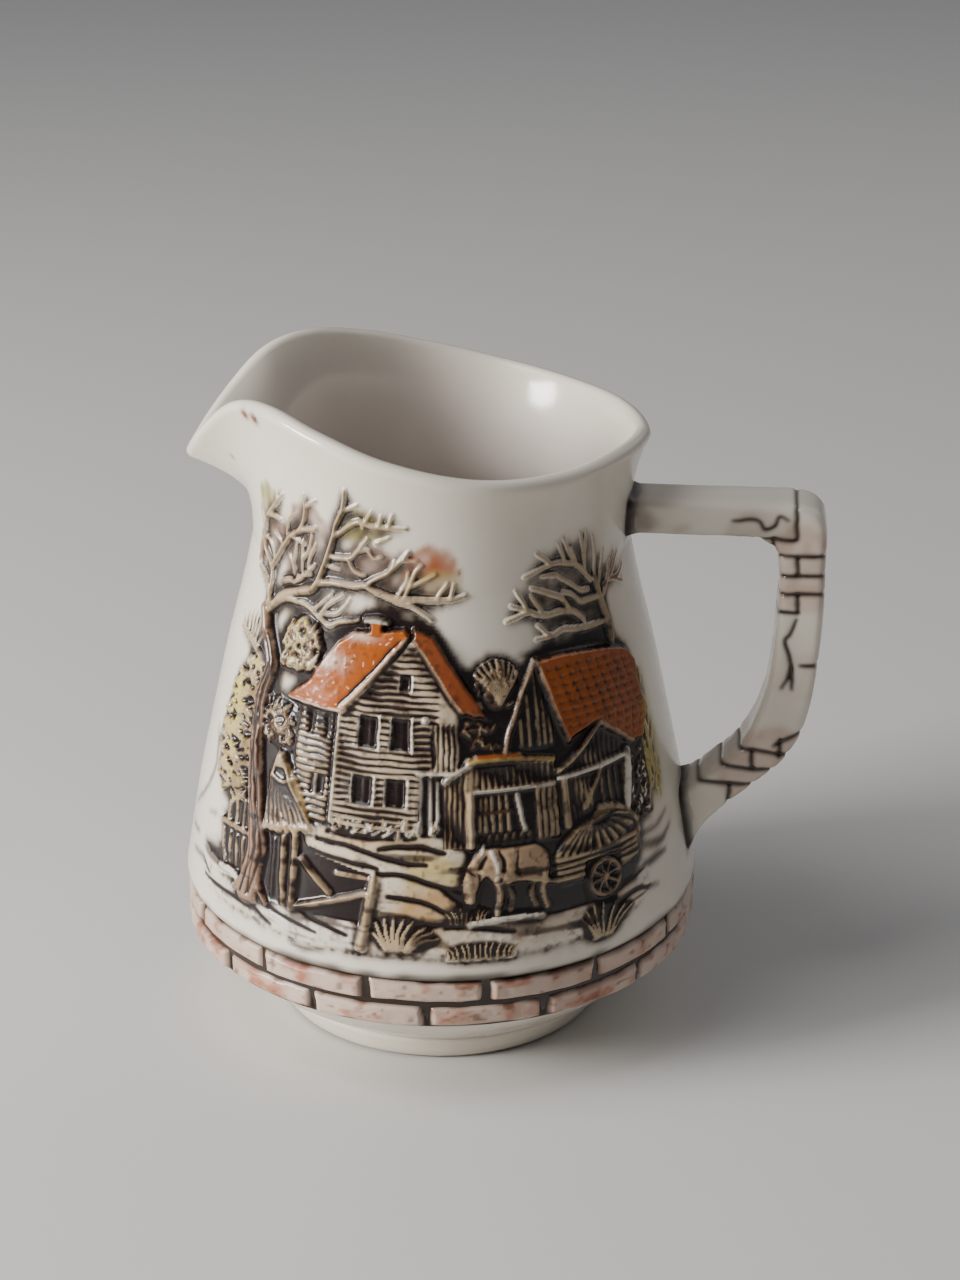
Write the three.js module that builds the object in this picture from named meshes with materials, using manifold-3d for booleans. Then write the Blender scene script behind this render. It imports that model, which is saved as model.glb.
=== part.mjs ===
// Relief-moulded cream jug: slip-cast body on a foot, square handle, farmyard in low relief.
// Millimetres, +Z up, standing on z = 0. The spout points to -X and the handle to +X.
import * as THREE from 'three';
import { mergeVertices } from 'three/addons/utils/BufferGeometryUtils.js';
import Module from 'manifold-3d';

// ---------- driving dimensions ----------
const WALL = 2.9; // thickness of the cast wall
const GAP = 0.3; // clearance between neighbouring pieces
const HANDLE_REACH = 68.1; // jug axis to the outside of the handle
const NECK_Z = 91; // narrowest height, where the mouth starts to open
const NECK_R = 33.4;
const FLARE_POWER = 3; // how late the mouth curls outwards
const BAND_BOTTOM = 16.4; // brick border
const BAND_TOP = 25.4;
const COURSE_H = 4;
const COURSE_GAP = 0.4;
const BAND_R = 46;
const BRICKS = 14; // in each course
const BRICK_PROUD = 1.5;
const BRICK_EDGE = 0.4; // chamfer
const LOWER_STAGGER = 0.62; // how far round the first joint is, in bricks from the handle
const UPPER_STAGGER = 0.107;
const AXIS_X = (BAND_R + BRICK_PROUD - HANDLE_REACH) / 2; // centres the whole jug on the origin
const JOINT_WIDTH = 1.3;
const JOINT_DEPTH = 0.8;
const FOOT_R = 30.2;
const FOOT_LAND = 4; // width of the flat the jug stands on
const FOOT_H = 4;
const HANDLE_W = 11.6; // along Y
const RELIEF = 1.3; // height of the moulded scene above its bed
const UNROLL_R = 42; // radius at which the scene is laid out flat
const COLUMNS = 48;

// Outside of the wall above the brick border: [height, radius].
const WALL_PROFILE = [[26.4, 47.2], [34, 45.9], [44.4, 44.1], [57.4, 41.3], [70.3, 38.4],
  [82, 35.4], [NECK_Z, NECK_R]];
// Mouth, half of it: [degrees from the handle, radius, height] along the middle of the lip.
const MOUTH = [[0, 35.1, 110], [25, 33.9, 110], [50, 34.1, 109.7], [75, 34.9, 110.7],
  [100, 34.9, 113.6], [120, 34.6, 116.6], [140, 35.1, 118.6], [155, 37.2, 117], [168, 40.6, 110.6],
  [180, 44.1, 103.8]];

const CREAM = 0xe8e0d2;
const WASH = 0x7a5c40;
const TILE = 0xc4622a;
const BRICK = 0xb98a78;
const LEAF = 0x9a8f4e;
const STRAW = 0xc9b583;

const wasm = await Module();
wasm.setup();

// ---------- the shape of the wall ----------
// Catmull-Rom value of column `k` of a table at `x`.
function tableAt(table, x, k) {
  let i = 0;
  while (i < table.length - 2 && x > table[i + 1][0]) i += 1;
  const [a, b] = [table[i], table[i + 1]];
  const before = table[Math.max(i - 1, 0)];
  const after = table[Math.min(i + 2, table.length - 1)];
  const span = b[0] - a[0];
  const t = (x - a[0]) / span;
  const slopeA = ((b[k] - before[k]) / (b[0] - before[0])) * span;
  const slopeB = ((after[k] - a[k]) / (after[0] - a[0])) * span;
  const t2 = t * t;
  const t3 = t2 * t;
  return (2 * t3 - 3 * t2 + 1) * a[k] + (t3 - 2 * t2 + t) * slopeA
    + (3 * t2 - 2 * t3) * b[k] + (t3 - t2) * slopeB;
}

function fromHandle(theta) {
  return THREE.MathUtils.radToDeg(Math.acos(THREE.MathUtils.clamp(Math.cos(theta), -1, 1)));
}

// Middle of the wall in one upright slice, from the brick border to the lip: [radius, height].
function slice(theta) {
  const half = WALL / 2;
  const points = WALL_PROFILE.map(([z, r]) => new THREE.Vector2(r - half, z));
  const mouthR = tableAt(MOUTH, fromHandle(theta), 1);
  const mouthZ = tableAt(MOUTH, fromHandle(theta), 2);
  for (const s of [0.3, 0.5, 0.68, 0.84, 1]) {
    const r = NECK_R - half + (mouthR - NECK_R + half) * s ** FLARE_POWER;
    points.push(new THREE.Vector2(r, NECK_Z + (mouthZ - NECK_Z) * s));
  }
  return points;
}

// The same slice moved outwards (or inwards) square to the wall.
function moved(points, distance) {
  return points.map((p, i) => {
    const a = points[Math.max(i - 1, 0)];
    const b = points[Math.min(i + 1, points.length - 1)];
    const t = b.clone().sub(a).normalize();
    return new THREE.Vector2(p.x + t.y * distance, p.y - t.x * distance);
  });
}

function turned(point, theta) {
  return [AXIS_X + point.x * Math.cos(theta), point.x * Math.sin(theta), point.y];
}

// Closed skin through one slice per column; a slice starts and ends on the axis, or `ring` closes it.
function skin(sliceAt, ring, columns = COLUMNS) {
  const positions = [];
  const index = [];
  const slices = [];
  for (let j = 0; j < columns; j += 1) slices.push(sliceAt((j / columns) * 2 * Math.PI));
  const rows = slices[0].length;
  slices.forEach((points, j) => {
    points.forEach((p) => positions.push(...turned(p, (j / columns) * 2 * Math.PI)));
  });
  const steps = ring ? rows : rows - 1;
  for (let j = 0; j < columns; j += 1) {
    for (let i = 0; i < steps; i += 1) {
      const a = j * rows + i;
      const b = ((j + 1) % columns) * rows + i;
      const c = ((j + 1) % columns) * rows + ((i + 1) % rows);
      const d = j * rows + ((i + 1) % rows);
      const loA = slices[j][i].x < 1e-6;
      const hiA = slices[j][(i + 1) % rows].x < 1e-6;
      if (!loA) index.push(a, b, c);
      if (!hiA) index.push(a, c, d);
    }
  }
  const geometry = new THREE.BufferGeometry();
  geometry.setAttribute('position', new THREE.Float32BufferAttribute(positions, 3));
  geometry.setIndex(index);
  return mergeVertices(geometry, 1e-4);
}

// ---------- solids ----------
function solid(geometry) {
  const bare = new THREE.BufferGeometry();
  bare.setAttribute('position', geometry.getAttribute('position').clone());
  if (geometry.index) bare.setIndex(geometry.index.clone());
  const merged = mergeVertices(bare, 1e-4);
  return new wasm.Manifold(new wasm.Mesh({
    numProp: 3,
    vertProperties: new Float32Array(merged.getAttribute('position').array),
    triVerts: new Uint32Array(merged.index.array),
  }));
}

function geometryOf(manifold) {
  const mesh = manifold.getMesh();
  const geometry = new THREE.BufferGeometry();
  geometry.setAttribute('position', new THREE.Float32BufferAttribute(mesh.vertProperties, 3));
  geometry.setIndex(new THREE.BufferAttribute(new Uint32Array(mesh.triVerts), 1));
  const flat = geometry.toNonIndexed();
  flat.computeVertexNormals();
  return flat;
}

function joined(parts) {
  return parts.reduce((sum, part) => sum.add(part));
}

// ---------- jug body ----------
const UNDERSIDE = [[0, 5.8], [15, 5.8], [26.5, 5.8], [31.2, 6.5], [37, 10.6], [42.2, 15.2],
  [44.6, 18.5], [44.6, 25]].map(([r, z]) => new THREE.Vector2(r, z));

function bodySlice(theta) {
  const middle = [...UNDERSIDE, ...slice(theta)];
  const outer = moved(middle, WALL / 2);
  const inner = moved(middle, -WALL / 2);
  outer[0].x = 0;
  inner[0].x = 0;
  const top = middle[middle.length - 1];
  const out = outer[outer.length - 1].clone().sub(top);
  const up = new THREE.Vector2(-out.y, out.x);
  const lip = [45, 90, 135].map((degrees) => {
    const a = THREE.MathUtils.degToRad(degrees);
    return top.clone().addScaledVector(out, Math.cos(a)).addScaledVector(up, Math.sin(a));
  });
  return [...outer, ...lip, ...inner.reverse()];
}

// Solid filling the jug out to `distance` beyond its wall, used to trim what is stuck to it.
function filledJug(distance) {
  return solid(skin((theta) => {
    const outer = moved(slice(theta), WALL / 2 + distance);
    return [new THREE.Vector2(0, BAND_TOP), ...outer, new THREE.Vector2(0, NECK_Z)];
  }, false));
}

// ---------- foot ----------
function footRing() {
  const inside = FOOT_R - FOOT_LAND;
  const profile = [[inside, 0], [FOOT_R - 0.8, 0], [FOOT_R, 0.8], [FOOT_R + 1.2, FOOT_H],
    [inside - 0.8, FOOT_H], [inside - 0.8, 1], [inside, 0]];
  const geometry = new THREE.LatheGeometry(profile.map(([r, z]) => new THREE.Vector2(r, z)), COLUMNS);
  return geometry.rotateX(Math.PI / 2).translate(AXIS_X, 0, 0);
}

// ---------- brick border ----------
function brickCourse(bottom, stagger) {
  const top = bottom + COURSE_H;
  const inner = BAND_R + GAP;
  const outer = BAND_R + BRICK_PROUD;
  const profile = [[inner, bottom], [outer - BRICK_EDGE, bottom], [outer, bottom + BRICK_EDGE],
    [outer, top - BRICK_EDGE], [outer - BRICK_EDGE, top], [inner, top], [inner, bottom]];
  const lathe = new THREE.LatheGeometry(profile.map(([r, z]) => new THREE.Vector2(r, z)), 56);
  let course = solid(lathe.rotateX(Math.PI / 2));
  for (let k = 0; k < BRICKS; k += 1) {
    const cut = new THREE.BoxGeometry(4, JOINT_WIDTH, top - bottom + 2);
    cut.translate(outer - JOINT_DEPTH + 2, 0, (top + bottom) / 2);
    cut.rotateZ(((k + stagger) / BRICKS) * 2 * Math.PI);
    course = course.subtract(solid(cut));
  }
  return geometryOf(course.translate([AXIS_X, 0, 0]));
}

// ---------- handle ----------
// Outline in the X-Z plane, X measured from the jug axis.
function handleShape() {
  const shape = new THREE.Shape();
  shape.moveTo(28, 99.3);
  shape.lineTo(61.5, 99.5);
  shape.quadraticCurveTo(67, 99.2, 67.7, 94);
  shape.quadraticCurveTo(HANDLE_REACH + 0.5, 78, 66.8, 62);
  shape.quadraticCurveTo(65.6, 53.4, 60.4, 48.4);
  shape.lineTo(52, 40.8);
  shape.quadraticCurveTo(48.2, 37, 46.4, 32.6);
  shape.lineTo(38, 32.6);
  shape.lineTo(38, 41);
  shape.quadraticCurveTo(44.4, 43.4, 47.6, 46.4);
  shape.lineTo(54.6, 53.2);
  shape.quadraticCurveTo(58.8, 58, 59.4, 68);
  shape.lineTo(59.9, 86.5);
  shape.quadraticCurveTo(59.9, 92.7, 54.4, 93.2);
  shape.lineTo(28, 93);
  return shape;
}

function handleSolid(grow) {
  const bevel = 1.1;
  const geometry = new THREE.ExtrudeGeometry(handleShape(), {
    depth: HANDLE_W - 2 * bevel + 2 * grow,
    bevelEnabled: true,
    bevelThickness: bevel,
    bevelSize: bevel,
    bevelOffset: grow - bevel,
    bevelSegments: 2,
    curveSegments: 5,
  });
  geometry.translate(AXIS_X, 0, -HANDLE_W / 2 + bevel - grow);
  return solid(geometry.rotateX(Math.PI / 2));
}

// Slip squeezed out round one end of the handle.
function slipJoint(bottom, top) {
  const reach = 1.3;
  const block = new THREE.BoxGeometry(60, 60, top - bottom);
  block.translate(AXIS_X + 50, 0, (top + bottom) / 2);
  const collar = filledJug(GAP + reach).subtract(filledJug(GAP));
  return geometryOf(collar.intersect(handleSolid(reach)).subtract(handleSolid(GAP))
    .intersect(solid(block)));
}

// ---------- relief ----------
// The scene is drawn flat: u along the wall, z up; `side` is -90 for the front, +90 for the back.
function cutter(outline, side) {
  const flat = outline.map(([u, z]) => new THREE.Vector2(u, z));
  if (THREE.ShapeUtils.isClockWise(flat)) flat.reverse();
  const bounds = [];
  flat.forEach((p, i) => {
    const next = flat[(i + 1) % flat.length];
    const steps = Math.max(1, Math.ceil(Math.abs(next.x - p.x) / 4));
    for (let k = 0; k < steps; k += 1) bounds.push(p.clone().lerp(next, k / steps));
  });
  const heights = bounds.map((p) => p.y);
  const wallAt = (z) => tableAt(WALL_PROFILE, Math.min(z, NECK_Z), 1);
  const radii = [wallAt(Math.max(...heights)) - 2, wallAt(Math.min(...heights)) + 6];
  const positions = [];
  const index = [];
  const count = bounds.length;
  for (const radius of radii) {
    for (const p of bounds) {
      const theta = THREE.MathUtils.degToRad(side) + p.x / UNROLL_R;
      positions.push(...turned(new THREE.Vector2(radius, p.y), theta));
    }
  }
  for (const [i, j, k] of THREE.ShapeUtils.triangulateShape(bounds, [])) {
    index.push(k, j, i, i + count, j + count, k + count);
  }
  for (let i = 0; i < count; i += 1) {
    const j = (i + 1) % count;
    if (bounds[j].x > bounds[i].x) {
      index.push(i, j, j + count, i, j + count, i + count);
    } else {
      index.push(i, j, i + count, j, j + count, i + count);
    }
  }
  const geometry = new THREE.BufferGeometry();
  geometry.setAttribute('position', new THREE.Float32BufferAttribute(positions, 3));
  geometry.setIndex(index);
  return solid(geometry);
}

// Tapering stroke along a few points: [u, z], starting `w0` and ending `w1` wide.
function stroke(points, w0, w1) {
  const left = [];
  const right = [];
  points.forEach(([u, z], i) => {
    const [au, az] = points[Math.max(i - 1, 0)];
    const [bu, bz] = points[Math.min(i + 1, points.length - 1)];
    const length = Math.hypot(bu - au, bz - az);
    const w = (w0 + ((w1 - w0) * i) / (points.length - 1)) / 2;
    const nu = (-(bz - az) / length) * w;
    const nz = ((bu - au) / length) * w;
    left.push([u + nu, z + nz]);
    right.unshift([u - nu, z - nz]);
  });
  return [...left, ...right];
}

function disc(u, z, radius, corners = 10) {
  const points = [];
  for (let k = 0; k < corners; k += 1) {
    const a = (k / corners) * 2 * Math.PI;
    points.push([u + radius * Math.cos(a), z + radius * Math.sin(a)]);
  }
  return points;
}

function box(u0, z0, u1, z1) {
  return [[u0, z0], [u1, z0], [u1, z1], [u0, z1]];
}

// The outline pushed outwards all round, so that a neighbour cut with it keeps clear.
function grown(outline, distance = GAP) {
  const turn = THREE.ShapeUtils.area(outline.map(([u, z]) => new THREE.Vector2(u, z))) > 0 ? 1 : -1;
  const count = outline.length;
  return outline.map(([u, z], i) => {
    const [au, az] = outline[(i + count - 1) % count];
    const [bu, bz] = outline[(i + 1) % count];
    const before = new THREE.Vector2(z - az, au - u).normalize();
    const after = new THREE.Vector2(bz - z, u - bu).normalize();
    const out = before.clone().add(after).normalize();
    const reach = Math.min(distance / Math.max(out.dot(before), 0.5), 2 * distance) * turn;
    return [u + out.x * reach, z + out.y * reach];
  });
}

const reliefBeds = new Map();

function reliefBed(height) {
  if (!reliefBeds.has(height)) {
    reliefBeds.set(height, filledJug(GAP + height).subtract(filledJug(GAP)));
  }
  return reliefBeds.get(height);
}

function sprig(outlines, side, cutouts = [], height = RELIEF) {
  let pattern = joined(outlines.map((outline) => cutter(outline, side)));
  for (const cutout of cutouts) pattern = pattern.subtract(cutter(grown(cutout), side));
  return geometryOf(reliefBed(height).intersect(pattern));
}

// Front scene, left to right.
const FRONT = -90;
const oldTree = [
  [[-36, 36], [-30.5, 44], [-31, 60], [-33.2, 70], [-33, 80], [-37.5, 85.5], [-34.5, 88.5],
    [-30, 83], [-29.6, 72], [-27.6, 60], [-26.6, 45], [-24.5, 34.8]],
  stroke([[-34.5, 85.5], [-25, 90], [-20, 96.5], [-15.5, 108.5]], 2.6, 1),
  stroke([[-18.6, 101], [-12, 103], [-4, 103.2]], 1.5, 0.9),
  stroke([[-27, 88.6], [-14.5, 91.3], [-3, 89.8], [9, 90.8]], 1.6, 1),
  stroke([[-12, 91.6], [-2.5, 99]], 1.3, 0.9),
  stroke([[-36.5, 87], [-35.5, 94.5], [-27, 99.6]], 2, 1),
  stroke([[-36, 90], [-40.5, 99.5]], 1.6, 1),
];
const hedge = [[-29.2, 73], [-26.8, 71.2], [-16.9, 73], [-16.4, 79.5], [-19, 84.5], [-24, 86],
  [-28.6, 82.6]];
const farmhouse = [[-23, 69.9], [-14.7, 70.4], [-1.6, 82], [7.5, 71.4], [7.4, 61.8], [5, 53.2],
  [-14.2, 52], [-18.6, 52.4]];
const farmhouseRoof = [[-26, 70.9], [-15.6, 83.6], [-11.4, 84.2], [-11.3, 87.2], [-7.2, 87.4],
  [-7, 84.9], [-1.7, 85], [-14.7, 71.4]];
const stook = [[-26.8, 61.3], [-25.6, 61.3], [-18.6, 49.9], [-26.4, 47.6]];
const bush = [[9.6, 72.6], [10.6, 79.4], [15, 81.4], [19.6, 79], [20.8, 75], [17.8, 70.6],
  [12, 71.6]];
const barn = [[16.2, 64.6], [22.8, 79.2], [27.6, 66], [34.8, 66.8], [43.6, 60.4], [41.8, 50.8],
  [26.2, 51.2], [26, 61.6]];
const barnRoof = [[24.1, 79], [47, 76.6], [47.3, 61.6], [44.6, 61.2], [35, 67.6], [28.4, 65.2]];
const leanTo = [[5.4, 60.2], [9.4, 63.3], [25.4, 62.6], [25.4, 59.6], [25, 49.4], [10, 48.6],
  [5.6, 49.4]];
const bareTree = [
  stroke([[43.6, 80], [42.4, 87], [42.6, 99]], 2.6, 1),
  stroke([[43, 82], [35.6, 82.4], [26.5, 82.2]], 1.6, 0.9),
  stroke([[37, 82.2], [32.6, 86], [19, 86.3]], 1.4, 0.9),
  stroke([[42.6, 86.5], [35.6, 87], [24.4, 91.4]], 1.4, 0.9),
  stroke([[41, 86.8], [35.8, 93.4], [30, 95.4]], 1.4, 0.9),
];
const horse = [[9.2, 39.4], [10.2, 38.6], [12, 42.2], [12.4, 36.9], [13.8, 36.9], [14.2, 42],
  [20.4, 41.4], [20.2, 36.9], [21.6, 36.9], [22.8, 42], [21.4, 47.6], [16, 47.6], [12.6, 49],
  [10.9, 48.3]];
const cart = [[24.2, 42.6], [24, 46.6], [29.6, 51.2], [33, 53], [41, 49.6], [43.2, 45.4],
  [41.6, 41.2], [36, 39.5]];
const wheel = disc(32.6, 38.6, 3.4);
const gate = [
  box(-24.6, 35.8, -23.2, 48), box(-21.4, 35.4, -19.6, 48.4), box(-8.6, 31.6, -6.6, 42.6),
  stroke([[-21, 44.6], [-12.8, 38.8]], 1.4, 1.2),
  stroke([[-24, 36.4], [-7.4, 40.2]], 1.5, 1.5),
];
const bank = [[-44, 30.4], [-30, 32], [-20, 31], [-9.4, 29.4], [4, 28], [16, 28.2], [30, 29.4],
  [40, 33], [39, 37.4], [26, 33.4], [16, 34.2], [4.6, 35.4], [-4, 36.4], [-14, 33.6], [-26, 34.4],
  [-34, 35.2]];
const reeds = [
  stroke([[49, 54], [48.8, 72]], 1.6, 1), stroke([[52, 52], [52, 70]], 1.6, 1),
  stroke([[55.2, 50], [54.6, 66]], 1.6, 1), box(48, 50, 56, 54),
];

// Back scene: a cottage under a tree, a haystack and a gate.
const BACK = 90;
const backTree = [
  [[20, 35], [24, 42], [24, 68], [21, 84], [24, 86], [28, 70], [27.6, 42], [32, 35]],
  stroke([[23, 82], [15, 91], [7, 95]], 2.2, 1),
  stroke([[23.6, 82], [26, 93], [23, 104]], 2.2, 1),
  stroke([[25.6, 78], [33, 88], [40, 91]], 2, 1),
  stroke([[17.5, 88], [15.5, 97], [10, 103]], 1.6, 0.9),
  stroke([[25.8, 92], [32, 97], [34, 103]], 1.5, 0.9),
];
const backCottage = [[-20, 52], [-20, 66], [-12, 77], [-4.4, 66.6], [13, 66], [13, 52]];
const backRoof = [[-11.6, 78.4], [-3.4, 67.4], [15.4, 66.8], [11, 78.6]];
const backStook = [[-31, 63], [-29.6, 63], [-24.4, 49], [-35, 49]];
const backHedge = [[-46, 50], [-45, 60], [-41, 65], [-37, 61], [-36.2, 50]];
const backGate = [
  box(-16, 34, -14.4, 45), box(-1, 33, 0.8, 45), box(12, 34, 13.6, 45),
  box(-15, 37, 13, 38.4), box(-15, 41, 13, 42.4),
];
const backBank = [[-44, 35], [-28, 38], [-17, 36.6], [-17, 32.6], [16, 32], [19, 33.8], [34, 33.4],
  [44, 36], [44, 31], [20, 29], [-20, 29], [-44, 31]];

// ---------- assembly ----------
const jug = new THREE.Group();
jug.name = 'cream_jug';

function add(name, geometry, colour, roughness = 0.22) {
  const material = new THREE.MeshStandardMaterial({ color: colour, roughness, metalness: 0 });
  const mesh = new THREE.Mesh(geometry, material);
  mesh.name = name;
  jug.add(mesh);
}

add('jug_body', skin(bodySlice, false), CREAM, 0.15);
add('foot_ring', footRing(), CREAM, 0.3);
add('brick_course_lower', brickCourse(BAND_BOTTOM, LOWER_STAGGER), BRICK);
add('brick_course_upper', brickCourse(BAND_BOTTOM + COURSE_H + COURSE_GAP, UPPER_STAGGER), BRICK);
add('handle', geometryOf(handleSolid(0).subtract(filledJug(GAP))), CREAM, 0.15);
add('slip_joint_upper', slipJoint(90, 102), WASH);
add('slip_joint_lower', slipJoint(28, 47), WASH);
add('relief_old_tree', sprig(oldTree, FRONT), WASH);
add('relief_hedge', sprig([hedge], FRONT, oldTree), LEAF);
add('relief_farmhouse', sprig([farmhouse], FRONT, [farmhouseRoof, oldTree[0]]), CREAM);
add('relief_farmhouse_roof', sprig([farmhouseRoof], FRONT, [hedge], 1.6), TILE);
add('relief_corn_stook', sprig([stook], FRONT, [farmhouse, oldTree[0]]), STRAW);
add('relief_bush', sprig([bush], FRONT, [farmhouse, barn]), LEAF);
add('relief_barn', sprig([barn], FRONT, [barnRoof]), CREAM);
add('relief_barn_roof', sprig([barnRoof], FRONT, [], 1.6), TILE);
add('relief_lean_to', sprig([leanTo], FRONT, [farmhouse, barn]), STRAW);
add('relief_bare_tree', sprig(bareTree, FRONT, [barnRoof, bush]), WASH);
add('relief_horse', sprig([horse], FRONT, [leanTo]), CREAM);
add('relief_hay_cart', sprig([cart, wheel], FRONT, [barn, leanTo, horse]), STRAW);
add('relief_gate', sprig(gate, FRONT, [oldTree[0], stook]), WASH);
add('relief_bank', sprig([bank], FRONT, [oldTree[0], horse, wheel, ...gate], 0.9), CREAM);
add('relief_reeds', sprig(reeds, FRONT), LEAF);
add('relief_back_tree', sprig(backTree, BACK), WASH);
add('relief_back_cottage', sprig([backCottage], BACK, [backRoof, backTree[0]]), CREAM);
add('relief_back_roof', sprig([backRoof], BACK, [], 1.6), TILE);
add('relief_back_stook', sprig([backStook], BACK), STRAW);
add('relief_back_hedge', sprig([backHedge], BACK), LEAF);
add('relief_back_gate', sprig(backGate, BACK, [backCottage]), WASH);
add('relief_back_bank', sprig([backBank], BACK, [backTree[0], ...backGate], 0.9), CREAM);

export default jug;
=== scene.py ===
import math

import bpy
import numpy as np
from mathutils import Matrix, Vector


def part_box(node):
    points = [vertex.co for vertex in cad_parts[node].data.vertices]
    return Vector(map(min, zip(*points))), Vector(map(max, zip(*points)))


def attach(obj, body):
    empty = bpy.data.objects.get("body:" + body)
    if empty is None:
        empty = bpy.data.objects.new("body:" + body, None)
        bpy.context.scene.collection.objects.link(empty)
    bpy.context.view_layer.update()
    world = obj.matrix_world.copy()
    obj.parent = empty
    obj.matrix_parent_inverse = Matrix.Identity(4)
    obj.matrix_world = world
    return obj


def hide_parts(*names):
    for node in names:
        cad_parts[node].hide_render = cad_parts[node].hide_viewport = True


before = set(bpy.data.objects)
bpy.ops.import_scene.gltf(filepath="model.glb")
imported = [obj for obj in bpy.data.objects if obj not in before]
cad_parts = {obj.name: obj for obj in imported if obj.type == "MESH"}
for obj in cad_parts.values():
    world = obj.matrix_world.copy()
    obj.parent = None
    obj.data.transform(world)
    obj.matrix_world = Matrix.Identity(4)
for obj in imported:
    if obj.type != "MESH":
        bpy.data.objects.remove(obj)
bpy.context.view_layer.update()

MM = 0.001

# ---------- camera: a little above the jug, its handle turned slightly towards the lens ----------
TURN = math.radians(6.0)
CAMERA_DISTANCE = 457.5 * MM
CAMERA_HEIGHT = 262.3 * MM
LOOK_DOWN = math.radians(22.87)
LOOK_RIGHT = math.radians(0.87)
ROLL = math.radians(0.42)
LENS = 77.2


def low(node):
    return np.array(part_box(node)[0])


def high(node):
    return np.array(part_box(node)[1])


AXIS_X = (low("foot_ring")[0] + high("foot_ring")[0]) / 2
BAND_LOW = low("brick_course_lower")[2] / MM
BAND_MID = (high("brick_course_lower")[2] + low("brick_course_upper")[2]) / 2 / MM
BAND_HIGH = high("brick_course_upper")[2] / MM
BRICK_R = (high("brick_course_upper")[0] - AXIS_X) / MM
HANDLE_HALF = high("handle")[1] / MM


def put_camera():
    data = bpy.data.cameras.new("camera")
    data.lens = LENS
    data.sensor_width = 36
    camera = bpy.data.objects.new("camera", data)
    bpy.context.collection.objects.link(camera)
    side = Vector((math.sin(TURN), -math.cos(TURN), 0))
    camera.location = Vector((AXIS_X, 0, CAMERA_HEIGHT)) + side * CAMERA_DISTANCE
    heading = TURN - LOOK_RIGHT
    aim = Matrix.Rotation(heading, 3, "Z") @ Matrix.Rotation(math.pi / 2 - LOOK_DOWN, 3, "X")
    camera.rotation_euler = (aim @ Matrix.Rotation(ROLL, 3, "Z")).to_euler()
    bpy.context.scene.camera = camera


put_camera()

# ---------- colours, linear ----------
GLAZE = np.array([0.72, 0.65, 0.54])
WASH = np.array([0.0105, 0.0048, 0.0022])
UMBER = np.array([0.10, 0.045, 0.02])
TILE = np.array([0.38, 0.086, 0.008])
BRICK = np.array([0.43, 0.215, 0.145])
RUST = np.array([0.23, 0.05, 0.015])
PINK = np.array([0.58, 0.26, 0.17])
OLIVE = np.array([0.24, 0.20, 0.04])
LIME = np.array([0.60, 0.53, 0.08])
STRAW = np.array([0.56, 0.38, 0.12])
MAUVE = np.array([0.13, 0.06, 0.045])
BARK = np.array([0.27, 0.165, 0.108])

# ---------- the wall, in millimetres about the jug's own axis ----------
WALL = 2.9
NECK_Z = 91
NECK_R = 33.4
FLARE_POWER = 3
UNROLL_R = 42
# Outside of the wall above the border: height, radius.
WALL_PROFILE = np.array([
    (26.4, 47.2), (34, 45.9), (44.4, 44.1), (57.4, 41.3), (70.3, 38.4), (82, 35.4), (NECK_Z, NECK_R)])
# Middle of the lip: degrees from the handle, radius, height.
MOUTH = np.array([
    (0, 35.1, 110), (25, 33.9, 110), (50, 34.1, 109.7), (75, 34.9, 110.7), (100, 34.9, 113.6),
    (120, 34.6, 116.6), (140, 35.1, 118.6), (155, 37.2, 117), (168, 40.6, 110.6), (180, 44.1, 103.8)])


def table_at(table, x, column):
    """Catmull-Rom value of a column of the table at x."""
    x = np.asarray(x, float)
    knots = table[:, 0]
    i = np.clip(np.searchsorted(knots, x) - 1, 0, len(knots) - 2)
    before, after = np.maximum(i - 1, 0), np.minimum(i + 2, len(knots) - 1)
    value = table[:, column]
    span = knots[i + 1] - knots[i]
    t = (x - knots[i]) / span
    slope_a = (value[i + 1] - value[before]) / (knots[i + 1] - knots[before]) * span
    slope_b = (value[after] - value[i]) / (knots[after] - knots[i]) * span
    t2, t3 = t * t, t * t * t
    return ((2 * t3 - 3 * t2 + 1) * value[i] + (t3 - 2 * t2 + t) * slope_a
            + (3 * t2 - 2 * t3) * value[i + 1] + (t3 - t2) * slope_b)


def from_handle(theta):
    return np.degrees(np.arccos(np.clip(np.cos(theta), -1, 1)))


def lip_radius(theta):
    return table_at(MOUTH, from_handle(theta), 1)


def lip_height(theta):
    return table_at(MOUTH, from_handle(theta), 2)


def wall_radius(theta, z):
    """Radius of the middle of the wall."""
    z = np.asarray(z, float)
    below = table_at(WALL_PROFILE, np.clip(z, WALL_PROFILE[0, 0], NECK_Z), 1) - WALL / 2
    rise = np.clip((z - NECK_Z) / (lip_height(theta) - NECK_Z), 0, 1.05)
    neck = NECK_R - WALL / 2
    above = neck + (lip_radius(theta) - neck) * rise ** FLARE_POWER
    return np.where(z < NECK_Z, below, above)


def wall_lean(theta, z):
    """How fast the wall widens with height, and the length of its tangent for each unit of height."""
    step = 0.05
    slope = (wall_radius(theta, z + step) - wall_radius(theta, z - step)) / (2 * step)
    return slope, np.sqrt(1 + slope * slope)


def wall_point(theta, z, out):
    """Points in millimetres, `out` proud of the middle of the wall, square to it."""
    slope, length = wall_lean(theta, z)
    radius = wall_radius(theta, z) + out / length
    height = z - out * slope / length
    return np.stack([radius * np.cos(theta), radius * np.sin(theta), height], -1)


def ring(theta, r, z):
    """A level ring of points about the jug's axis."""
    return np.stack([r * np.cos(theta), r * np.sin(theta), 0 * theta + z], -1)


def to_scene(points):
    """Millimetres about the jug's axis to metres in the row frame."""
    points = np.asarray(points, float) * MM
    points[..., 0] += AXIS_X
    return points


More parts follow.
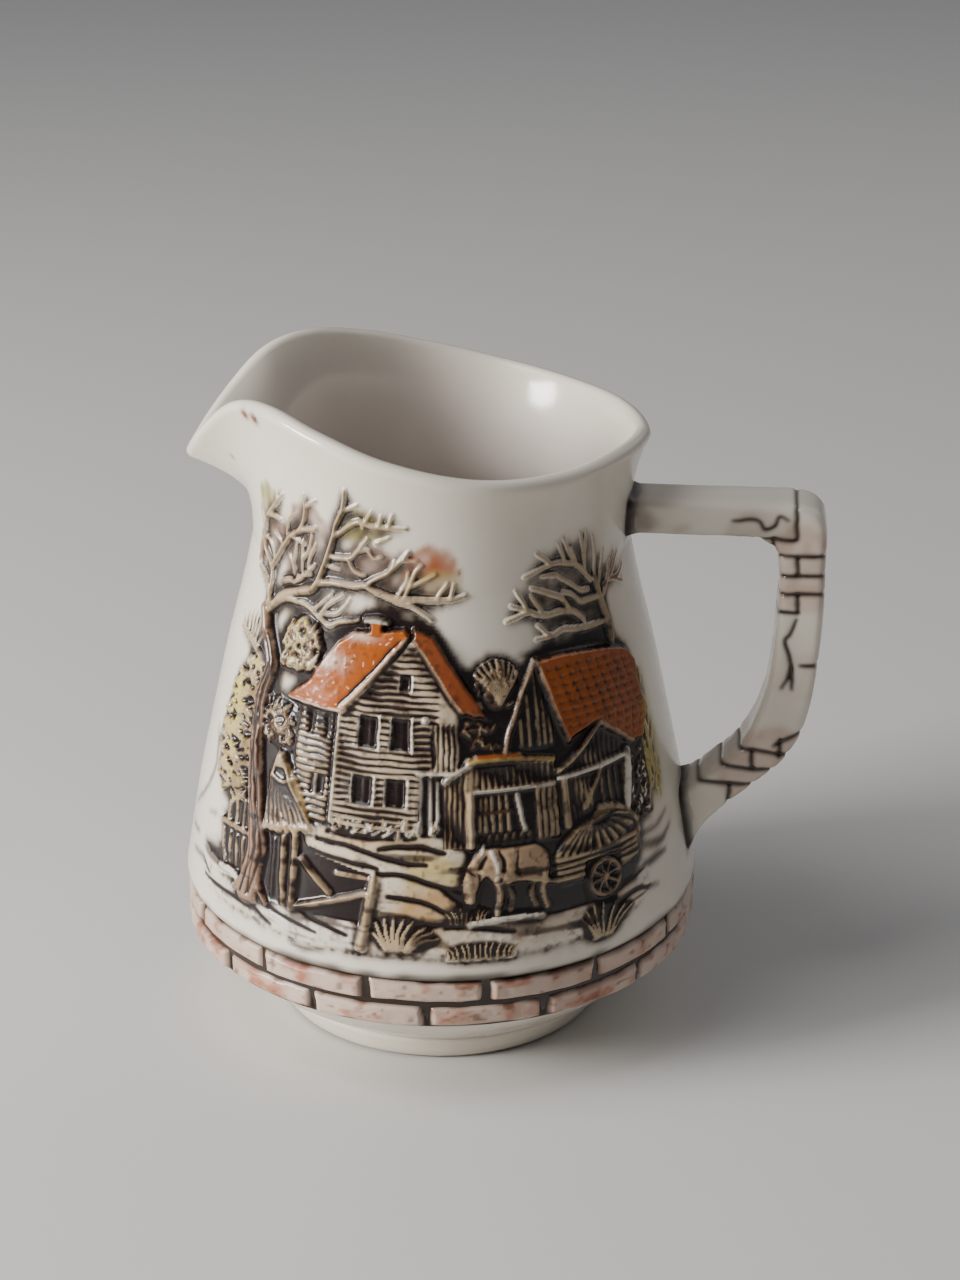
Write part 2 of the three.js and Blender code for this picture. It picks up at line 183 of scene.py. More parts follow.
# ---------- drawing on a flat sheet ----------
def smooth(x, low_edge, high_edge):
    t = np.clip((x - low_edge) / (high_edge - low_edge), 0, 1)
    return t * t * (3 - 2 * t)


def blurred(field, cells):
    """Three box blurs, close to a Gaussian."""
    reach = max(1, int(round(cells)))
    width = 2 * reach + 1
    for _ in range(3):
        for axis in (0, 1):
            pad = [(0, 0)] * field.ndim
            pad[axis] = (reach + 1, reach)
            total = np.cumsum(np.pad(field, pad, mode="edge"), axis=axis)
            ahead = np.take(total, range(width, total.shape[axis]), axis=axis)
            behind = np.take(total, range(0, total.shape[axis] - width), axis=axis)
            field = (ahead - behind) / width
    return field


def grain(shape, cell, seed):
    """Smooth random field from -1 to 1 whose features are about `cell` samples wide."""
    rng = np.random.default_rng(seed)
    rows, columns = int(shape[0] / cell) + 3, int(shape[1] / cell) + 3
    coarse = rng.uniform(-1, 1, (rows, columns))
    y = np.arange(shape[0]) / cell
    x = np.arange(shape[1]) / cell
    iy, ix = y.astype(int), x.astype(int)
    fy, fx = smooth(y - iy, 0, 1)[:, None], smooth(x - ix, 0, 1)[None, :]
    top = coarse[iy][:, ix] * (1 - fx) + coarse[iy][:, ix + 1] * fx
    low_row = coarse[iy + 1][:, ix] * (1 - fx) + coarse[iy + 1][:, ix + 1] * fx
    return top * (1 - fy) + low_row * fy


def inside(points, u, z):
    """Even-odd test of a polygon."""
    result = np.zeros(u.shape, bool)
    previous = points[-1]
    for point in points:
        crosses = (point[1] > z) != (previous[1] > z)
        rise = previous[1] - point[1]
        if rise != 0:
            at = point[0] + (z - point[1]) * (previous[0] - point[0]) / rise
            result ^= crosses & (u < at)
        previous = point
    return result


def along(points, u, z):
    """Distance to a polyline, and how far along it (0 to 1) the nearest place lies."""
    points = np.asarray(points, float)
    lengths = np.hypot(*(points[1:] - points[:-1]).T)
    starts = np.concatenate([[0], np.cumsum(lengths)])
    best = np.full(u.shape, 1e9)
    share = np.zeros(u.shape)
    for a, b, length, start in zip(points[:-1], points[1:], lengths, starts):
        t = np.clip(((u - a[0]) * (b[0] - a[0]) + (z - a[1]) * (b[1] - a[1])) / length ** 2, 0, 1)
        d = np.hypot(u - a[0] - t * (b[0] - a[0]), z - a[1] - t * (b[1] - a[1]))
        nearer = d < best
        best = np.where(nearer, d, best)
        share = np.where(nearer, (start + t * length) / starts[-1], share)
    return best, share


def curved(points, steps=4):
    """The polyline rounded through its points."""
    points = np.asarray(points, float)
    if len(points) < 3:
        return points
    table = np.column_stack([np.arange(len(points)), points])
    x = np.linspace(0, len(points) - 1, (len(points) - 1) * steps + 1)
    return np.column_stack([table_at(table, x, 1), table_at(table, x, 2)])


STREAK = 6  # how many times longer than it is high each brushed streak is


class Sheet:
    """A stretch of wall laid flat, u along it and z up it, in millimetres."""

    def __init__(self, u_low, u_high, z_low, z_high, pitch, seed):
        self.pitch = pitch
        self.u = np.arange(u_low, u_high + pitch / 2, pitch)
        self.z = np.arange(z_low, z_high + pitch / 2, pitch)
        shape = (len(self.z), len(self.u))
        self.height = np.zeros(shape)
        # How dark the wash lies here; shade() lays painted shade into it as well.
        self.wash = np.zeros(shape)
        self.paint = np.tile(GLAZE, shape + (1,))
        self.piece = np.zeros(shape, np.int16)
        self.seed = seed
        self.rng = np.random.default_rng(seed)
        self.wobble = grain(shape, 1.6 / pitch, seed + 1)
        self.wobble_z = grain(shape, 2.2 / pitch, seed + 2)

    def window(self, points, margin):
        points = np.asarray(points, float)
        (u0, z0), (u1, z1) = points.min(0) - margin, points.max(0) + margin
        i = slice(*np.searchsorted(self.z, (z0, z1)))
        j = slice(*np.searchsorted(self.u, (u0, u1)))
        u, z = np.meshgrid(self.u[j], self.z[i])
        return (i, j), u, z

    def colour(self, where, amount, colour):
        mix = np.clip(amount, 0, 1)[..., None]
        self.paint[where] = self.paint[where] * (1 - mix) + np.asarray(colour) * mix

    def stroke(self, points, w0, w1, rise, piece, colour=None, base=0.0):
        """A raised rounded line."""
        points = curved(points)
        where, u, z = self.window(points, max(w0, w1))
        u = u + 0.12 * self.wobble[where]
        d, t = along(points, u, z)
        half = 0.5 * (w0 + (w1 - w0) * t)
        bump = np.sqrt(np.clip(1 - (d / half) ** 2, 0, 1))
        crown = (base + rise * bump) * (bump > 0)
        higher = crown > self.height[where]
        self.height[where] = np.where(higher, crown, self.height[where])
        self.piece[where] = np.where(higher, piece, self.piece[where])
        self.wash[where] = np.where(higher, self.wash[where] * 0.25, self.wash[where])
        if colour is not None:
            self.colour(where, higher * smooth(bump, 0.1, 0.6), colour)

    def fill(self, points, height, piece, colour=None, wash=0.0, crown=0.0):
        """A flat, or slightly crowned, raised shape."""
        where, u, z = self.window(points, 0.5)
        mask = inside(points, u + 0.1 * self.wobble[where], z + 0.1 * self.wobble_z[where])
        level = np.full(u.shape, float(height))
        if crown:
            middle = np.mean(points, 0)
            size = np.ptp(points, 0).max() / 2
            level += crown * (1 - np.hypot(u - middle[0], z - middle[1]) ** 2 / size ** 2)
        self.height[where] = np.where(mask, level, self.height[where])
        self.piece[where] = np.where(mask, piece, self.piece[where])
        self.wash[where] = np.where(mask, wash, self.wash[where])
        if colour is not None:
            self.colour(where, mask * 1.0, colour)

    def mound(self, points, rise, soft, piece, colour):
        """A low swelling whose edges fade into the wall."""
        where, u, z = self.window(points, soft * 2)
        mask = blurred(inside(points, u, z) * 1.0, soft / self.pitch / 2)
        level = rise * smooth(mask, 0.05, 0.9)
        self.height[where] = np.maximum(self.height[where], level)
        self.piece[where] = np.where(mask > 0.05, piece, self.piece[where])
        self.colour(where, mask, colour)

    def carve(self, points, width, depth, wash=0.9):
        """A cut line that holds the dark wash."""
        points = curved(points)
        where, u, z = self.window(points, width * 2)
        u = u + 0.15 * self.wobble[where]
        z = z + 0.15 * self.wobble_z[where]
        d, t = along(points, u, z)
        taper = 0.55 + 0.45 * np.sin(np.pi * np.clip(t, 0.02, 0.98)) ** 0.5
        cut = np.exp(-(d / (0.5 * width * taper)) ** 2)
        self.height[where] -= depth * cut
        self.wash[where] = np.clip(self.wash[where] + wash * cut, 0, 1)

    def planks(self, points, pitch, depth, upright):
        """Board joints inside a shape, running up it or along it."""
        where, u, z = self.window(points, 0.5)
        mask = blurred(inside(points, u, z) * 1.0, 1)
        if upright:
            across, lengthways = u + 0.16 * self.wobble[where], z
        else:
            across, lengthways = z + 0.16 * self.wobble_z[where], u
        phase = across / pitch
        board = np.floor(phase)
        groove = np.abs(phase - np.round(phase)) * pitch
        width = pitch * (0.24 + 0.10 * np.sin(board * 12.9 + lengthways * 0.35))
        cut = np.exp(-(groove / width) ** 2) * mask
        uneven = 0.10 * np.sin(np.round(board) * 7.3 + lengthways * 0.8) * mask
        self.height[where] += uneven - depth * cut
        self.wash[where] = np.clip(self.wash[where] + 1.1 * cut, 0, 1)

    def dabs(self, points, count, length, width, rise, piece, colours, lean=0.0, spread=1.5, base=0.0):
        """Small random leaves or blades inside a shape."""
        points = np.asarray(points, float)
        low_corner, high_corner = points.min(0), points.max(0)
        placed = 0
        while placed < count:
            u, z = self.rng.uniform(low_corner, high_corner)
            if not inside(points, np.array([u]), np.array([z]))[0]:
                continue
            placed += 1
            angle = lean + self.rng.uniform(-spread, spread)
            size = length * self.rng.uniform(0.6, 1.3)
            du, dz = math.sin(angle) * size / 2, math.cos(angle) * size / 2
            tone = colours[self.rng.integers(len(colours))]
            line = [(u - du, z - dz), (u + du * 0.2, z), (u + du, z + dz)]
            self.stroke(line, width, width * 0.6, rise * self.rng.uniform(0.6, 1.1), piece, tone, base)

    def blades(self, foot, count, height, fan, rise, piece, colour, width=0.7, run=0.0):
        """A tuft of grass: curved blades fanning out of a foot."""
        for k in range(count):
            share = (k + 0.5) / count - 0.5
            size = height * self.rng.uniform(0.75, 1.1) * (1 - 0.5 * abs(share))
            lean = fan * share * 2
            u = foot[0] + share * run + self.rng.uniform(-0.2, 0.2)
            tip = (u + size * math.sin(lean), foot[1] + size * math.cos(lean))
            bend = (u + size * 0.35 * math.sin(lean * 0.5), foot[1] + size * 0.55)
            self.stroke([(u, foot[1]), bend, tip], width, width * 0.45, rise, piece, colour)

    def stain(self, centre, size, colour, amount):
        """A soft patch of colour."""
        corner = np.asarray(size, float) * 1.6
        centre = np.asarray(centre, float)
        where, u, z = self.window([centre - corner, centre + corner], 0)
        reach = np.hypot((u - centre[0]) / size[0], (z - centre[1]) / size[1])
        self.colour(where, amount * np.exp(-reach ** 2 * 1.6), colour)

    def patch(self, points, colour, amount, soft=0.9):
        """A patch of colour brushed on, with a soft edge."""
        where, u, z = self.window(points, soft * 3)
        u, z = u + 0.5 * self.wobble[where], z + 0.5 * self.wobble_z[where]
        mask = blurred(inside(points, u, z) * 1.0, soft / self.pitch / 2)
        self.colour(where, amount * mask * (0.85 + 0.3 * self.wobble[where]), colour)

    def shade(self, points, amount, soft=1.2):
        """Painted shade: dark wash left lying in a shape, on its low parts only, beside the raised things.
        """
        where, u, z = self.window(points, soft * 3)
        mask = blurred(inside(points, u, z) * 1.0, soft / self.pitch / 2)
        keep = self.height[where] < 0.6
        self.wash[where] = np.clip(self.wash[where] + amount * mask * keep, 0, 1)

    def finished(self):
        """Paint with the wash lying in the hollows and the painted shade laid in by shade(), and the
        softened height.
        """
        shape = self.height.shape
        rough = grain(shape, 1.1 / self.pitch, self.seed + 5)
        rough = rough + 0.6 * grain(shape, 0.5 / self.pitch, self.seed + 6)
        height = blurred(self.height + 0.05 * rough * (self.height > 0.2), 0.5)
        hollow = blurred(height, 0.7 / self.pitch) - height
        wide = blurred(height, 2.0 / self.pitch) - height
        slope = np.hypot(*np.gradient(height, self.pitch))
        settled = np.clip(hollow, 0, 1) * 4.2 + np.clip(wide, 0, 1) * 2.2
        settled = settled + np.clip(slope - 0.6, 0, 2) * 0.34
        settled *= smooth(blurred((self.height > 0.2) * 1.0, 1.2 / self.pitch), 0.02, 0.3)
        dark = self.wash + settled * (1 + 0.35 * rough)
        streaks = grain((shape[0], shape[1] // STREAK + 1), 0.9 / self.pitch, self.seed + 7)
        streaks = np.repeat(streaks, STREAK, 1)[:, :shape[1]]
        low_ground = smooth(53 - self.z, 0, 6)[:, None] * smooth(self.z - 29, 0, 3)[:, None]
        near = smooth(blurred((self.height > 0.1) * 1.0, 2.5 / self.pitch), 0.05, 0.5)
        dark += 0.55 * smooth(blurred(streaks, 1), 0.1, 0.75) * low_ground * near
        dark += 0.22 * smooth(rough, 0.1, 1.1) * near
        dark = np.clip(dark + 0.06 * self.wobble * (dark > 0.1), 0, 0.96)[..., None]
        warm = np.clip(dark * 2.4, 0, 1) * 0.8
        stained = self.paint * (1 - warm) + (UMBER * 0.8 + self.paint * 0.15) * warm
        dark = smooth(dark, 0.05, 0.95)
        paint = stained * (1 - dark) + WASH * dark
        return height, np.clip(paint, 0.004, 0.9)


# ---------- the farm scene, front ----------
FRONT = [
    "bare", "old_tree", "hedge", "farmhouse", "farmhouse_roof", "corn_stook", "bush", "barn",
    "barn_roof", "lean_to", "bare_tree", "horse", "hay_cart", "gate", "bank", "reeds"]
(OLD_TREE, HEDGE, FARMHOUSE, ROOF, STOOK, BUSH, BARN, BARN_ROOF, LEAN_TO, BARE_TREE, HORSE, CART,
 GATE, BANK, REEDS) = range(1, 16)
TWIG = np.array([0.42, 0.31, 0.185])


def strokes(sheet, lines, w0, w1, rise, piece, colour=None, base=0.0):
    for line in lines:
        sheet.stroke(line, w0, w1, rise, piece, colour, base)


def dark_opening(sheet, u0, u1, z0, z1, height, piece):
    """A window or doorway, sunk and filled with wash."""
    sheet.fill([(u0, z0), (u0, z1), (u1, z1), (u1, z0)], height, piece, WASH, 1.0)


def ground(s):
    s.mound([(-44, 31.5), (-46, 37), (-38, 36.5), (-28, 36), (-12, 36.5), (2, 36), (20, 35.5), (36, 36),
             (44, 37),
             (44, 34), (34, 31), (14, 30.4), (-8, 30.4), (-26, 30.8)], 0.4, 2.2, BANK, GLAZE)
    s.mound([(-19, 50.5), (-15, 52.5), (3, 52.5), (9, 48.5), (10, 41), (7, 36), (-6, 36), (-8, 43.5),
             (-16, 45), (-20, 47)],
            0.5, 1.4, BANK, GLAZE * 0.7 + STRAW * 0.25)
    s.patch([(-3, 35.5), (-2, 42.5), (4, 42.6), (9, 40), (11, 36.5), (6, 35)], TILE * 0.35 + STRAW * 0.55,
            0.85, 1.6)
    s.patch([(-2, 42.5), (-1, 48), (4, 48.4), (8, 46), (8.4, 42.4), (3, 43)], OLIVE * 0.7 + STRAW * 0.55,
            0.75, 1.4)
    s.patch([(-17, 49), (-14, 52), (0, 52), (4, 50), (0, 48.6), (-10, 48.4)], STRAW * 0.6 + UMBER, 0.6,
            1.2)
    s.patch([(-8, 31), (-9, 36), (4, 36.5), (12, 36), (10, 31)], STRAW * 0.6 + UMBER, 0.4, 1.6)
    s.patch([(14, 31.5), (14, 36), (30, 36.4), (42, 36), (40, 32)], UMBER * 2.5 + TWIG * 0.3, 0.5, 1.8)
    for line in ([(-6, 48.5), (-2, 49.2), (1, 49.3), (5, 48.4)],
                 [(-6, 44.3), (-1, 44.3), (3.7, 42.7), (7.3, 42)],
                 [(-18, 46.5), (-12, 45.6), (-6, 45.2)], [(-17, 48.5), (-10, 48.2), (-3, 46.6), (2, 46.3)],
                 [(4.7, 42), (7.3, 40)], [(-15, 50.2), (-8, 50.3), (0, 51)],
                 [(-4, 40.5), (1, 40), (5, 38)]):
        s.carve(line, 1.0, 0.35)
    for line in ([(-46, 37.7), (-40, 37.3), (-35.7, 37.7)],
                 [(-44, 32), (-38.3, 32), (-30, 32.5), (-24.7, 30.7)],
                 [(-20.7, 29.3), (-18, 28.3), (-14.7, 29)], [(-18, 34.7), (-15, 33.7), (-10.7, 32.5)],
                 [(5, 35.3), (9, 35.5), (12.7, 34.5), (16, 34)], [(22, 36.2), (30, 36.3), (35, 35.3)],
                 [(-27, 34), (-22, 33), (-16, 32)], [(35, 34), (40, 34.6), (46, 33)],
                 [(-52, 33), (-46, 34), (-42, 33)],
                 [(40, 37.5), (46, 38.5), (50, 38)], [(43, 42), (48, 40.7), (52, 41)],
                 [(-56, 36), (-50, 37)]):
        s.carve(line, 0.9, 0.3, 0.75)
    s.stroke([(9, 36), (15, 36.6), (20.7, 36.2)], 1.8, 1.2, 0.7, BANK, GLAZE)
    s.stroke([(-38, 36), (-35, 36.4), (-32.3, 36)], 2.4, 1.8, 0.8, BANK, GLAZE)
    s.shade([(-46, 37), (-38, 39.5), (-32, 39), (-32, 37), (-38, 36.6)], 0.8)
    s.carve([(-45.7, 64), (-47.7, 55.7), (-47, 50.7), (-50, 45.3), (-56, 40)], 1.1, 0.25, 0.55)
    s.carve([(-50, 57.7), (-48.7, 56), (-47.7, 55)], 0.8, 0.2, 0.5)
    s.carve([(-46, 43), (-42, 44), (-40, 43)], 0.9, 0.2, 0.5)


def tufts(s):
    tips = [(-6, 36), (-4.5, 36.5), (-3, 37), (-1.5, 36.7), (0, 36.5), (2, 35.5), (4, 33.5), (-6.5, 34),
            (3, 34.7)]
    for tip in tips:
        foot = (-3 + (tip[0] + 3) * 0.35, 31.3)
        s.stroke([foot, ((foot[0] + tip[0]) / 2 - 0.2, (foot[1] + tip[1]) / 2 + 0.6), tip], 1.0, 0.45,
                 0.9, BANK, TWIG)
    s.blades((10.5, 29.8), 13, 3.2, 0.5, 0.7, BANK, TWIG, 0.7, 11)
    tips = [(27.5, 33.5), (28.5, 34.6), (30, 35.2), (32, 35.2), (34.5, 34.5), (36.5, 33.5), (38.5, 33),
            (29.2, 32.6)]
    for tip in tips:
        foot = (31 + (tip[0] - 31) * 0.3, 29.6)
        s.stroke([foot, ((foot[0] + tip[0]) / 2, (foot[1] + tip[1]) / 2 + 0.5), tip], 0.9, 0.4, 0.8, BANK,
                 TWIG)
    s.blades((8.5, 36), 9, 3, 0.5, 0.7, BANK, TWIG, 0.6, 6)
    s.shade([(-5, 30.9), (-7, 34.4), (-5, 36.6), (-1, 37.3), (2, 36.2), (4.4, 33.4), (2, 31)], 1.0, 0.5)
    s.shade([(5, 29.8), (5.4, 32), (8, 32.8), (13, 32.6), (16, 31.6), (15, 29.8)], 0.9, 0.5)
    s.shade([(28.6, 29.4), (27, 33), (29, 35.3), (33, 35.6), (37, 34), (39, 32.6), (34, 29.6)], 0.9, 0.5)
    s.shade([(5, 36), (5, 39), (12, 39), (12, 36)], 0.9, 0.7)


def hedge(s):
    outline = [(-44.5, 52), (-45, 62), (-43, 70), (-39, 75), (-35, 74.5), (-34, 66), (-34, 50), (-38, 49)]
    s.dabs(outline, 260, 2.3, 0.75, 0.8, HEDGE, [TWIG, TWIG, LIME * 0.5 + TWIG * 0.5], 1.45, 0.5, 0.35)
    # Painted shade on the hedge's right side: dark wash and an umber patch.
    s.shade([(-40, 50), (-39, 60), (-37.5, 72), (-33, 74), (-33, 49)], 0.8)
    s.patch([(-38.6, 50), (-38, 60), (-37, 70), (-35, 74), (-33.5, 74), (-33.5, 50)], UMBER, 0.6)
    s.stain((-42, 66), (2.6, 7), LIME, 0.75)
    s.stain((-41, 56.5), (2.5, 4), STRAW, 0.5)
    strokes(s, [[(-34.7, 72.3), (-36.3, 74.7), (-39.3, 75.7), (-43, 76.7), (-48, 77.2)]], 1.2, 0.5, 0.8,
            OLD_TREE, TWIG)
    strokes(s, [[(-44, 77), (-45.5, 80.5)], [(-42.5, 77), (-43.6, 81.2)], [(-41.5, 77), (-41.6, 81.5)],
                [(-40.5, 76.5), (-39.9, 81)], [(-46, 77.2), (-48.3, 79.6)], [(-39.5, 76), (-37.5, 79)]],
            0.6, 0.35, 0.55, OLD_TREE, TWIG)
    s.fill([(-30.5, 62.5), (-31.5, 69.7), (-27, 70), (-24, 69), (-24, 62), (-27, 61)], 0.3, HEDGE,
           wash=0.9)
    s.dabs([(-31, 62.7), (-31.5, 69.5), (-25, 69.7), (-24.3, 62.7)], 64, 1.1, 0.7, 0.8, HEDGE,
           [TWIG, UMBER, TWIG * 0.6], 0.4, 1.5, 0.3)
    s.fill([(-30, 76), (-30.5, 81), (-27, 84.7), (-22.5, 84.5), (-20, 80.5), (-21, 75.7)], 0.3, HEDGE,
           wash=0.8)
    s.dabs([(-30, 76), (-30, 81), (-27, 84.5), (-22.5, 84.2), (-20.3, 80.5), (-21, 76)], 115, 1.3, 1.0,
           0.85, HEDGE,
           [TWIG, LIME * 0.4 + TWIG * 0.6, UMBER], 0.3, 1.5, 0.35)


def fence_and_gate(s):
    s.fill([(-27, 35), (-27, 47.5), (-19.5, 48), (-18, 46), (-7, 44), (-7, 35)], 0.15, GATE, UMBER * 0.6,
           0.75)
    s.shade([(-19.5, 44), (-19.5, 36.5), (-9, 40.5), (-13.5, 40)], 0.9, 0.6)
    s.stroke([(-23.3, 47.3), (-22.9, 41), (-22.3, 35.7)], 1.4, 1.5, 1.1, GATE, TWIG)
    s.stroke([(-21, 48.2), (-20.8, 42), (-20.7, 35.4)], 1.5, 1.6, 1.1, GATE, TWIG)
    s.stroke([(-19.5, 44.2), (-17, 42), (-14, 39.6)], 1.4, 1.2, 1.0, GATE, TWIG)
    s.stroke([(-20.7, 35.3), (-15, 37.7), (-7.7, 40.6)], 1.2, 1.2, 1.0, GATE, TWIG)
    s.stroke([(-6.5, 43.2), (-7.3, 37), (-8.1, 31)], 1.7, 1.7, 1.2, GATE, TWIG)
    s.stroke([(-13, 43.3), (-6, 43.2)], 0.8, 0.8, 0.6, GATE, TWIG)
    s.stroke([(-25.5, 46), (-25, 36)], 0.8, 0.9, 0.5, GATE, UMBER)
    s.fill([(-39.5, 37.5), (-40, 45), (-36, 49.5), (-31.5, 50), (-30.5, 38)], 0.12, GATE, UMBER * 0.8, 0.7)
    s.stroke([(-40, 44.3), (-35, 44.7), (-31.3, 44.8)], 0.9, 0.9, 0.8, GATE, TWIG)
    strokes(s, [[(-35.9, 49.6), (-35.3, 44.3)], [(-38.2, 48), (-37.8, 44.3)], [(-33.6, 50), (-33.2, 44.5)],
                [(-39.2, 43), (-38.6, 40), (-37.5, 37.7)], [(-36.8, 43.3), (-36, 38)],
                [(-34.8, 43.3), (-34, 38)],
                [(-33, 43.5), (-32.3, 38)]], 0.9, 0.8, 0.65, GATE, TWIG)


def stook(s):
    outline = [(-27, 61.4), (-28.4, 57.3), (-27.9, 53), (-27, 48), (-24, 47.2), (-18, 49.6), (-18.6, 52),
               (-20.7, 55.5),
               (-24.8, 61)]
    s.fill(outline, 0.5, STOOK, STRAW * 0.7, 0.35, 0.4)
    top = (-26.2, 61)
    for k in range(15):
        share = k / 14
        foot = (-27.4 + 9.4 * share, 47.6 + 2.2 * share + s.rng.uniform(-0.8, 0.5))
        middle = (top[0] - 1.6 + 5.2 * share, 55.2)
        s.stroke([(top[0] - 0.5 + share, top[1]), middle, foot], 0.55, 0.8, 0.75, STOOK, TWIG, 0.55)
    for k in range(8):
        share = (k + 0.4) / 8
        s.carve([(top[0] - 0.8 + share * 2.2, 58.4), (top[0] - 1.6 + 5.2 * share, 55.2),
                 (-27.2 + 9 * share, 48.6 + 2 * share)],
                0.6, 0.5, 1.0)
    s.stain((-24.5, 50.5), (2.2, 2.2), TILE * 0.7, 0.5)
    s.stroke([(-27.6, 57), (-25, 56.3), (-22.6, 57.6)], 0.6, 0.5, 0.6, STOOK, TWIG, 0.7)


def farmhouse(s):
    side = [(-23, 51.5), (-23, 71), (-15, 71), (-15, 51.8)]
    gable = [(-14.8, 52), (-14.6, 70.5), (-1.4, 84), (7.4, 72), (7.4, 51.8)]
    s.fill([(-24, 51), (-24, 71.5), (-14.6, 71.3), (-1.4, 85), (9, 72.5), (9, 51)], 0.3, FARMHOUSE, UMBER,
           0.8)
    # Painted shade: the side wall is filled a darker brown than the gable, for the shade on that face.
    s.fill(side, 0.8, FARMHOUSE, TWIG, 0.1)
    s.planks(side, 1.1, 0.5, False)
    s.fill(gable, 1.0, FARMHOUSE, TWIG * 0.75 + GLAZE * 0.25, 0.05)
    s.planks([(-14.3, 52), (-14.3, 70), (-1.4, 83), (4, 76), (4, 70), (2.6, 70), (2.6, 62), (0.5, 61.5),
              (0.5, 52)], 1.1,
             0.55, False)
    s.planks([(3, 61.8), (3, 70), (7.4, 70), (7.4, 61.8)], 0.95, 0.5, True)
    s.fill([(0.6, 51.7), (0.6, 61.5), (5.4, 61.5), (5.4, 51.7)], 0.15, FARMHOUSE, WASH, 1.0)
    strokes(s, [[(1, 51.7), (1, 61.4)], [(2.6, 51.7), (2.6, 61.4)], [(5.2, 51.7), (5.2, 61.4)],
                [(3.8, 52), (3.8, 61)]],
            0.7, 0.7, 0.8, FARMHOUSE, GLAZE)
    s.stroke([(0.3, 61.9), (7.4, 61.9)], 0.9, 0.9, 1.2, FARMHOUSE, GLAZE)
    for u0, u1, z0, z1 in ((-10.6, -7.2, 65.4, 71), (-4.6, -1.2, 65.4, 71), (-11.1, -7.6, 56, 60.7),
                           (-5.1, -1.7, 56, 60.7), (-3.4, -1.4, 75.4, 77.9)):
        dark_opening(s, u0, u1, z0, z1, 0.1, FARMHOUSE)
        s.stroke([(u1 + 0.3, z0), (u1 + 0.3, z1)], 0.6, 0.6, 1.25, FARMHOUSE, GLAZE)
        s.stroke([(u0 - 0.25, z0), (u0 - 0.25, z1)], 0.4, 0.4, 1.1, FARMHOUSE, GLAZE)
        if u1 - u0 > 3:
            bar = u0 + (u1 - u0) * 0.6
            s.stroke([(bar, z0 + 0.2), (bar, z1)], 0.35, 0.35, 0.45, FARMHOUSE, UMBER * 2)
    for u0, u1, z0, z1 in ((-21.1, -19.9, 66, 70), (-17.4, -16.7, 66, 70), (-19.3, -16.5, 56, 59.5)):
        dark_opening(s, u0, u1, z0, z1, 0.15, FARMHOUSE)
    s.stroke([(-18.4, 56), (-18.4, 59.3)], 0.8, 0.8, 0.7, FARMHOUSE, GLAZE)
    s.carve([(-15.3, 52), (-15.3, 70.5)], 0.8, 0.5, 1.0)
    s.stroke([(-14.8, 52), (-14.8, 70.3)], 0.6, 0.6, 1.4, FARMHOUSE, GLAZE)
    s.carve([(3, 63), (3, 69)], 0.7, 0.5, 1.0)
    s.stroke([(1.4, 70.8), (1.6, 70.8)], 1.5, 1.5, 1.4, FARMHOUSE, GLAZE)
    s.dabs([(-14.7, 51), (-14.7, 53.3), (3.7, 53.3), (3.7, 51)], 46, 1.5, 0.6, 0.7, FARMHOUSE,
           [TWIG, GLAZE], 0.2, 0.9, 0.4)


def farmhouse_roof(s):
    dark = [(-27, 70.2), (-15, 69.6), (-13.6, 70.4), (-1.5, 83), (7.4, 71), (13, 70.6), (8.5, 79.3),
            (3, 86.4), (-2, 87),
            (-6, 88.6), (-12, 88.2), (-18, 84.4), (-23, 77)]
    s.shade(dark, 1.0, 0.6)
    left = [(-26.5, 71.2), (-15.3, 70.8), (-13.6, 71.5), (-1.6, 84.8), (-3, 85.6), (-6.3, 85.2),
            (-13.3, 84.4), (-16.7, 82.3),
            (-19.3, 79), (-21.6, 75.3)]
    s.fill(left, 1.5, ROOF, TILE * 0.9)
    # Painted reflection: the two pale pink-white patches on the roof's upper left are a painted sheen of
    # light on the glaze.
    s.stain((-18, 79), (4.5, 2.2), PINK * 0.4 + GLAZE * 0.7, 0.75)
    s.stain((-11.5, 84), (4, 1.2), PINK * 0.4 + GLAZE * 0.7, 0.7)
    s.stain((-20, 73.3), (5, 1.4), PINK * 0.6 + TILE * 0.4, 0.5)
    s.dabs([(-24, 72), (-17, 81), (-6, 84.6), (-3.6, 83), (-14, 72)], 120, 0.5, 0.3, 0.2, ROOF,
           [PINK * 0.4 + GLAZE * 0.6, TILE, TILE * 0.8, TILE], 0.8, 1.5, 1.42)
    s.stroke([(-2.3, 84.3), (-8.2, 77.9), (-14, 71.3)], 1.1, 1.1, 1.75, ROOF, TWIG * 0.8 + PINK * 0.3)
    s.stroke([(-26, 71.2), (-20, 71), (-14.2, 71)], 0.9, 0.9, 1.7, ROOF, PINK * 0.4 + GLAZE * 0.6)
    s.carve([(-3.6, 84), (-9.5, 77.6), (-15, 71.9)], 0.4, 0.4, 0.7)
    # Painted shade: the right roof strip is filled dark rust, darker than the tile of the left slope, for
    # the shade on that side.
    right = [(-1.4, 86), (2.9, 84.8), (5.5, 81.3), (8.2, 77.7), (10.5, 74.3), (12.5, 71.2), (10.4, 71.2),
             (8, 72.3),
             (6, 74.9), (4, 77.9), (1.3, 81.6), (-1, 84.4)]
    s.fill(right, 1.4, ROOF, TILE * 0.22 + RUST * 0.75, 0.15)
    s.stroke([(-1, 84.1), (1.3, 81.3), (4, 77.7), (6, 74.7), (8.2, 72)], 0.9, 0.9, 1.6, ROOF,
             TWIG * 0.6 + RUST * 0.3)
    s.fill([(-9.9, 84), (-9.9, 86.3), (-7.2, 86.3), (-7.2, 84)], 1.5, ROOF, TILE, 0.1)
    s.stroke([(-11.1, 86.4), (-8.6, 86.8), (-6.2, 86.4)], 1.3, 1.3, 1.7, ROOF, GLAZE)


